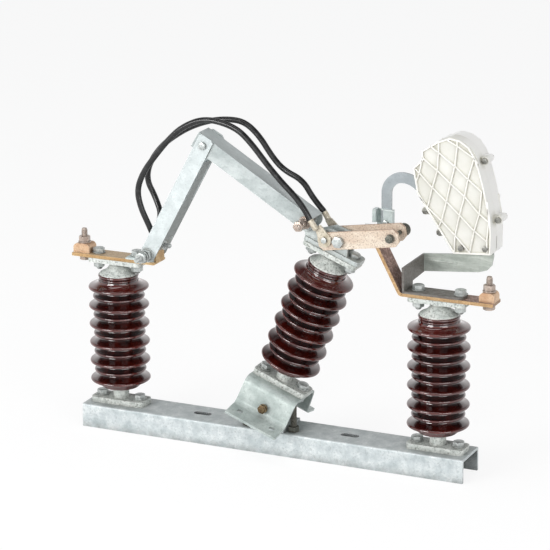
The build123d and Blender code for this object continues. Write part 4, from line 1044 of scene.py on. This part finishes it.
dull_metal("copper_plate", (212, 184, 138), (184, 146, 98), (128, 94, 64), (228, 200, 150), metallic=0.35,
           stretch=(0.25, 1.0, 1.0), spots=0.4, side=(UP, (196, 176, 148), 0.75))
dull_metal("copper_contact", (204, 172, 128), (176, 140, 98), (122, 90, 68), (216, 182, 134), metallic=0.35,
           side=((0.6, 0, 0.9), (124, 98, 93), 0.92), patch=0.012, spots=0.6, skin=0.4, dots=0.75)
dull_metal("copper_blade", (231, 219, 202), (212, 192, 172), (150, 122, 104), (222, 190, 148), metallic=0.2,
           stretch=(0.5, 1, 1), spots=0.7, side=(UP, (176, 140, 124), 0.6), patch=0.016)
dull_metal("bronze", (222, 190, 156), (196, 154, 120), (128, 92, 72), (240, 216, 188), metallic=0.4,
           rough=(0.3, 0.45), spots=0.3, side=(UP, (196, 160, 130), 0.3))
dull_metal("pin_metal", (206, 190, 178), (164, 146, 134), (92, 78, 70), (244, 238, 230), metallic=0.6,
           rough=(0.25, 0.4), spots=0.4, patch=0.012)
dull_metal("tinned_copper", (222, 214, 198), (192, 182, 160), (132, 118, 96), (240, 236, 224), metallic=0.3)
dull_metal("old_steel", (158, 158, 152), (104, 104, 98), (54, 52, 48), (222, 222, 216), patch=0.008)
dull_metal("dark_steel", (106, 108, 100), (76, 78, 71), (42, 41, 37), (190, 190, 178), patch=0.01)
dull_metal("old_bronze", (116, 94, 64), (70, 56, 40), (30, 24, 20), (228, 202, 150), metallic=0.6, spots=0.6,
           patch=0.008)
print("finishes so far", len(bpy.data.materials))

# %% [markdown]
# ## Chute plastic and cable jacket
# The arc chute is a cream moulded plastic, half matt. Painted shade darkens the cells between the ribs, and
# painted light whitens its right side, its rib edges, its ribs and its rear half, the last two as paler copies
# of the cream. The cable jacket is smooth black rubber with paler scuffs here and there along its length; the
# attribute that counts the metres along the cable drives them.

# %% Mix the plastics
def moulded_cream(name, pale, full, rib_edge_highlight, rib_shade):
    cream = Finish(name, full, IOR=1.5)
    slow = cream.place("cloudy_patches", Size=0.05, Contrast=1.0)["Mask"]
    cream.coat(pale, slow)
    # Painted light on the faces that look right.
    cream.coat((252, 251, 247), "weather_side", 0.85, Facing=(0.95, 0, 0.3), Broken=0.1)
    # Painted shade in the cells beside the ribs.
    cream.coat((164, 160, 138), "corner_dirt", Reach=0.012, Amount=rib_shade)
    # Paler edges: painted highlight.
    cream.coat(rib_edge_highlight, "worn_edges", 0.5)
    lumps = cream.place("rough_skin", Size=0.0009, Pits=0.1)["Height"]
    cream.done(cream.spread(slow, 0.0, 1.0, 0.4, 0.5), lumps, 0.08 * MM)


moulded_cream("moulded_cream", (236, 235, 229), (222, 221, 212), (248, 247, 242), 0.85)
# The ribs and the rear half are paler copies of the cream: painted light.
moulded_cream("cream_rib", (252, 251, 246), (246, 244, 236), (254, 253, 250), 0.2)
moulded_cream("cream_white", (252, 252, 250), (247, 246, 242), (254, 254, 252), 0.2)

jacket = Finish("black_jacket", (18, 18, 19), IOR=1.5)
along = node(jacket.tree, "Attribute", {"attribute_name": "along"}).outputs["Fac"]
place = node(jacket.tree, "CombineXYZ", X=along).outputs[0]
scuffs = node(jacket.tree, "TexNoise", Vector=place, Scale=60.0, Detail=3.0).outputs[0]
jacket.coat((32, 33, 34), "cloudy_patches", Size=0.03, Contrast=1.4)
jacket.coat((60, 61, 62), jacket.spread(scuffs, 0.5, 0.75, 0.0, 0.6))
jacket.done(jacket.spread(scuffs, 0.3, 0.8, 0.22, 0.4))
print("jacket of", len(jacket.tree.nodes), "nodes")

# %% [markdown]
# ## Giving each part its finish
# Parts of the frame and new pieces take their finish in the same way, as the only material of the mesh. The
# cell ends by looking for a visible part that no line names.

# %% Assign the finishes
FINISHES = {
    "zinc_channel": "base_channel pivot_pedestal", "zinc_saddle": "rocker_saddle", "zinc_link": "lower_link",
    "zinc_upper_link": "upper_link", "zinc_carrier": "blade_carrier", "zinc_horn": "arcing_horn",
    "zinc_pale": "link_anchor horn_holder", "zinc_bracket": "chute_bracket bracket_bead",
    "cast_fitting": "left_end_fittings right_end_fittings rocker_end_fittings",
    "copper_plate": "left_terminal_plate", "copper_contact": "right_terminal_contact",
    "copper_blade": "near_blade_bar far_blade_bar", "tinned_copper": "blade_lugs tab_lugs",
    "bronze": "left_conductor_keeper right_conductor_keeper", "moulded_cream": "chute_front_half",
    "cream_white": "chute_rear_half", "cream_rib": "chute_ribs_front chute_ribs_rear",
    "pin_metal": "made_rocker_pin made_clamp_studs", "old_bronze": "made_pivot_bolt",
    "old_steel": "made_chute_bolts", "dark_steel": "made_stop_bolts made_contact_spring_bolt",
}
BY_KIND = {"glazed": "brown_glaze", "cement": "cast_fitting", "flexible": "black_jacket", "made": "zinc_bolt"}
finish_of = {name: finish for finish, names in FINISHES.items() for name in names.split()}
bare = []
for name, piece in {**frame["nodes"], **added}.items():
    finish = finish_of.get(name, BY_KIND.get(name.split("_")[0]))
    if finish:
        piece.data.materials.clear()
        piece.data.materials.append(bpy.data.materials[finish])
    elif not piece.hide_render:
        bare.append(name)
print("parts without a finish:", bare)

# %% [markdown]
# ## Floor, background and light
# The floor and the background are almost white, so that the part stands free. What mirrors see of the world
# is white up to the height of a wall, and darker above it, so that glaze and zinc have something dark to
# mirror. The light that the world gives is weaker. One large soft lamp stands low in front on the left,
# where a window would be, and weak ones fill in from above and from the right. Two narrow strips light
# nothing: only mirrors see them, as bright bands on the glaze.

# %% Light the switch
SEEN_WHITE, WORLD_LIGHT, CEILING, WALL_TOP, CEILING_FROM = 1.0, 0.46, 0.1, 0.35, 0.7
FLOOR_GREY, FLOOR_GLOW, FLOOR_SEEN = (0.86, 0.86, 0.86, 1), 1.06, 0.8
FLOOR_Z = cad_box[0][2] - MM / 2
LAMPS = {"window": ((-1.7, -3.4, 1.3), (2.2, 0.9), 80), "ceiling": ((-0.3, -0.6, 3.0), (3.0, 1.0), 22),
         "right_wall": ((3.1, -1.9, 1.2), (1.6, 0.9), 32), "strip_left": ((-0.9, -3.0, 1.35), (1.1, 0.4), 14),
         "strip_right": ((2.3, -3.0, 1.35), (1.1, 0.4), 14)}


def two_ways(tree, lit, seen, amount, output):
    """One shader for the light that is given, one for what is seen directly, in a mirror or through glass."""
    path = node(tree, "LightPath").outputs
    either = calc(tree, "MAXIMUM", path["Is Camera Ray"], path["Is Glossy Ray"])
    either = calc(tree, "MAXIMUM", either, path["Is Transmission Ray"])
    both = node(tree, "MixShader", Fac=product(tree, either, amount))
    tree.links.new(lit.outputs[0], both.inputs[1])
    tree.links.new(seen.outputs[0], both.inputs[2])
    tree.links.new(both.outputs[0], node(tree, output).inputs["Surface"])


world = bpy.data.worlds.new("white_room")
bpy.context.scene.world = world
world.use_nodes = True
sky = world.node_tree
sky.nodes.clear()
height = node(sky, "SeparateXYZ", Vector=node(sky, "TexCoord").outputs["Generated"]).outputs["Z"]
room = calc(sky, "MAXIMUM", spread(sky, height, WALL_TOP, CEILING_FROM, SEEN_WHITE, CEILING),
            node(sky, "LightPath").outputs["Is Camera Ray"])
two_ways(sky, node(sky, "Background", Color=(0.97, 0.98, 1.0, 1), Strength=WORLD_LIGHT),
         node(sky, "Background", Color=(1, 1, 1, 1), Strength=room), 1.0, "OutputWorld")

clear()
bpy.ops.mesh.primitive_plane_add(size=60, location=(0, 0, FLOOR_Z))
floor = bpy.context.object
floor.name = "floor"
material = bpy.data.materials.new("pale_floor")
material.use_nodes = True
paint = material.node_tree
paint.nodes.clear()
two_ways(paint, node(paint, "BsdfDiffuse", Color=FLOOR_GREY),
         node(paint, "Emission", Color=(1, 1, 1, 1), Strength=FLOOR_GLOW), FLOOR_SEEN, "OutputMaterial")
floor.data.materials.append(material)

for name, (place, size, power) in LAMPS.items():
    turn = (AIM - Vector(place)).to_track_quat("-Z", "Y").to_euler()
    bpy.ops.object.light_add(type="AREA", location=place, rotation=turn)
    lamp = bpy.context.object
    lamp.name, lamp.data.energy, lamp.data.shape = name, power, "RECTANGLE"
    lamp.data.size, lamp.data.size_y = size
    lamp.visible_diffuse = not name.startswith("strip")
print("floor at", round(FLOOR_Z, 4), "lamps", list(LAMPS))
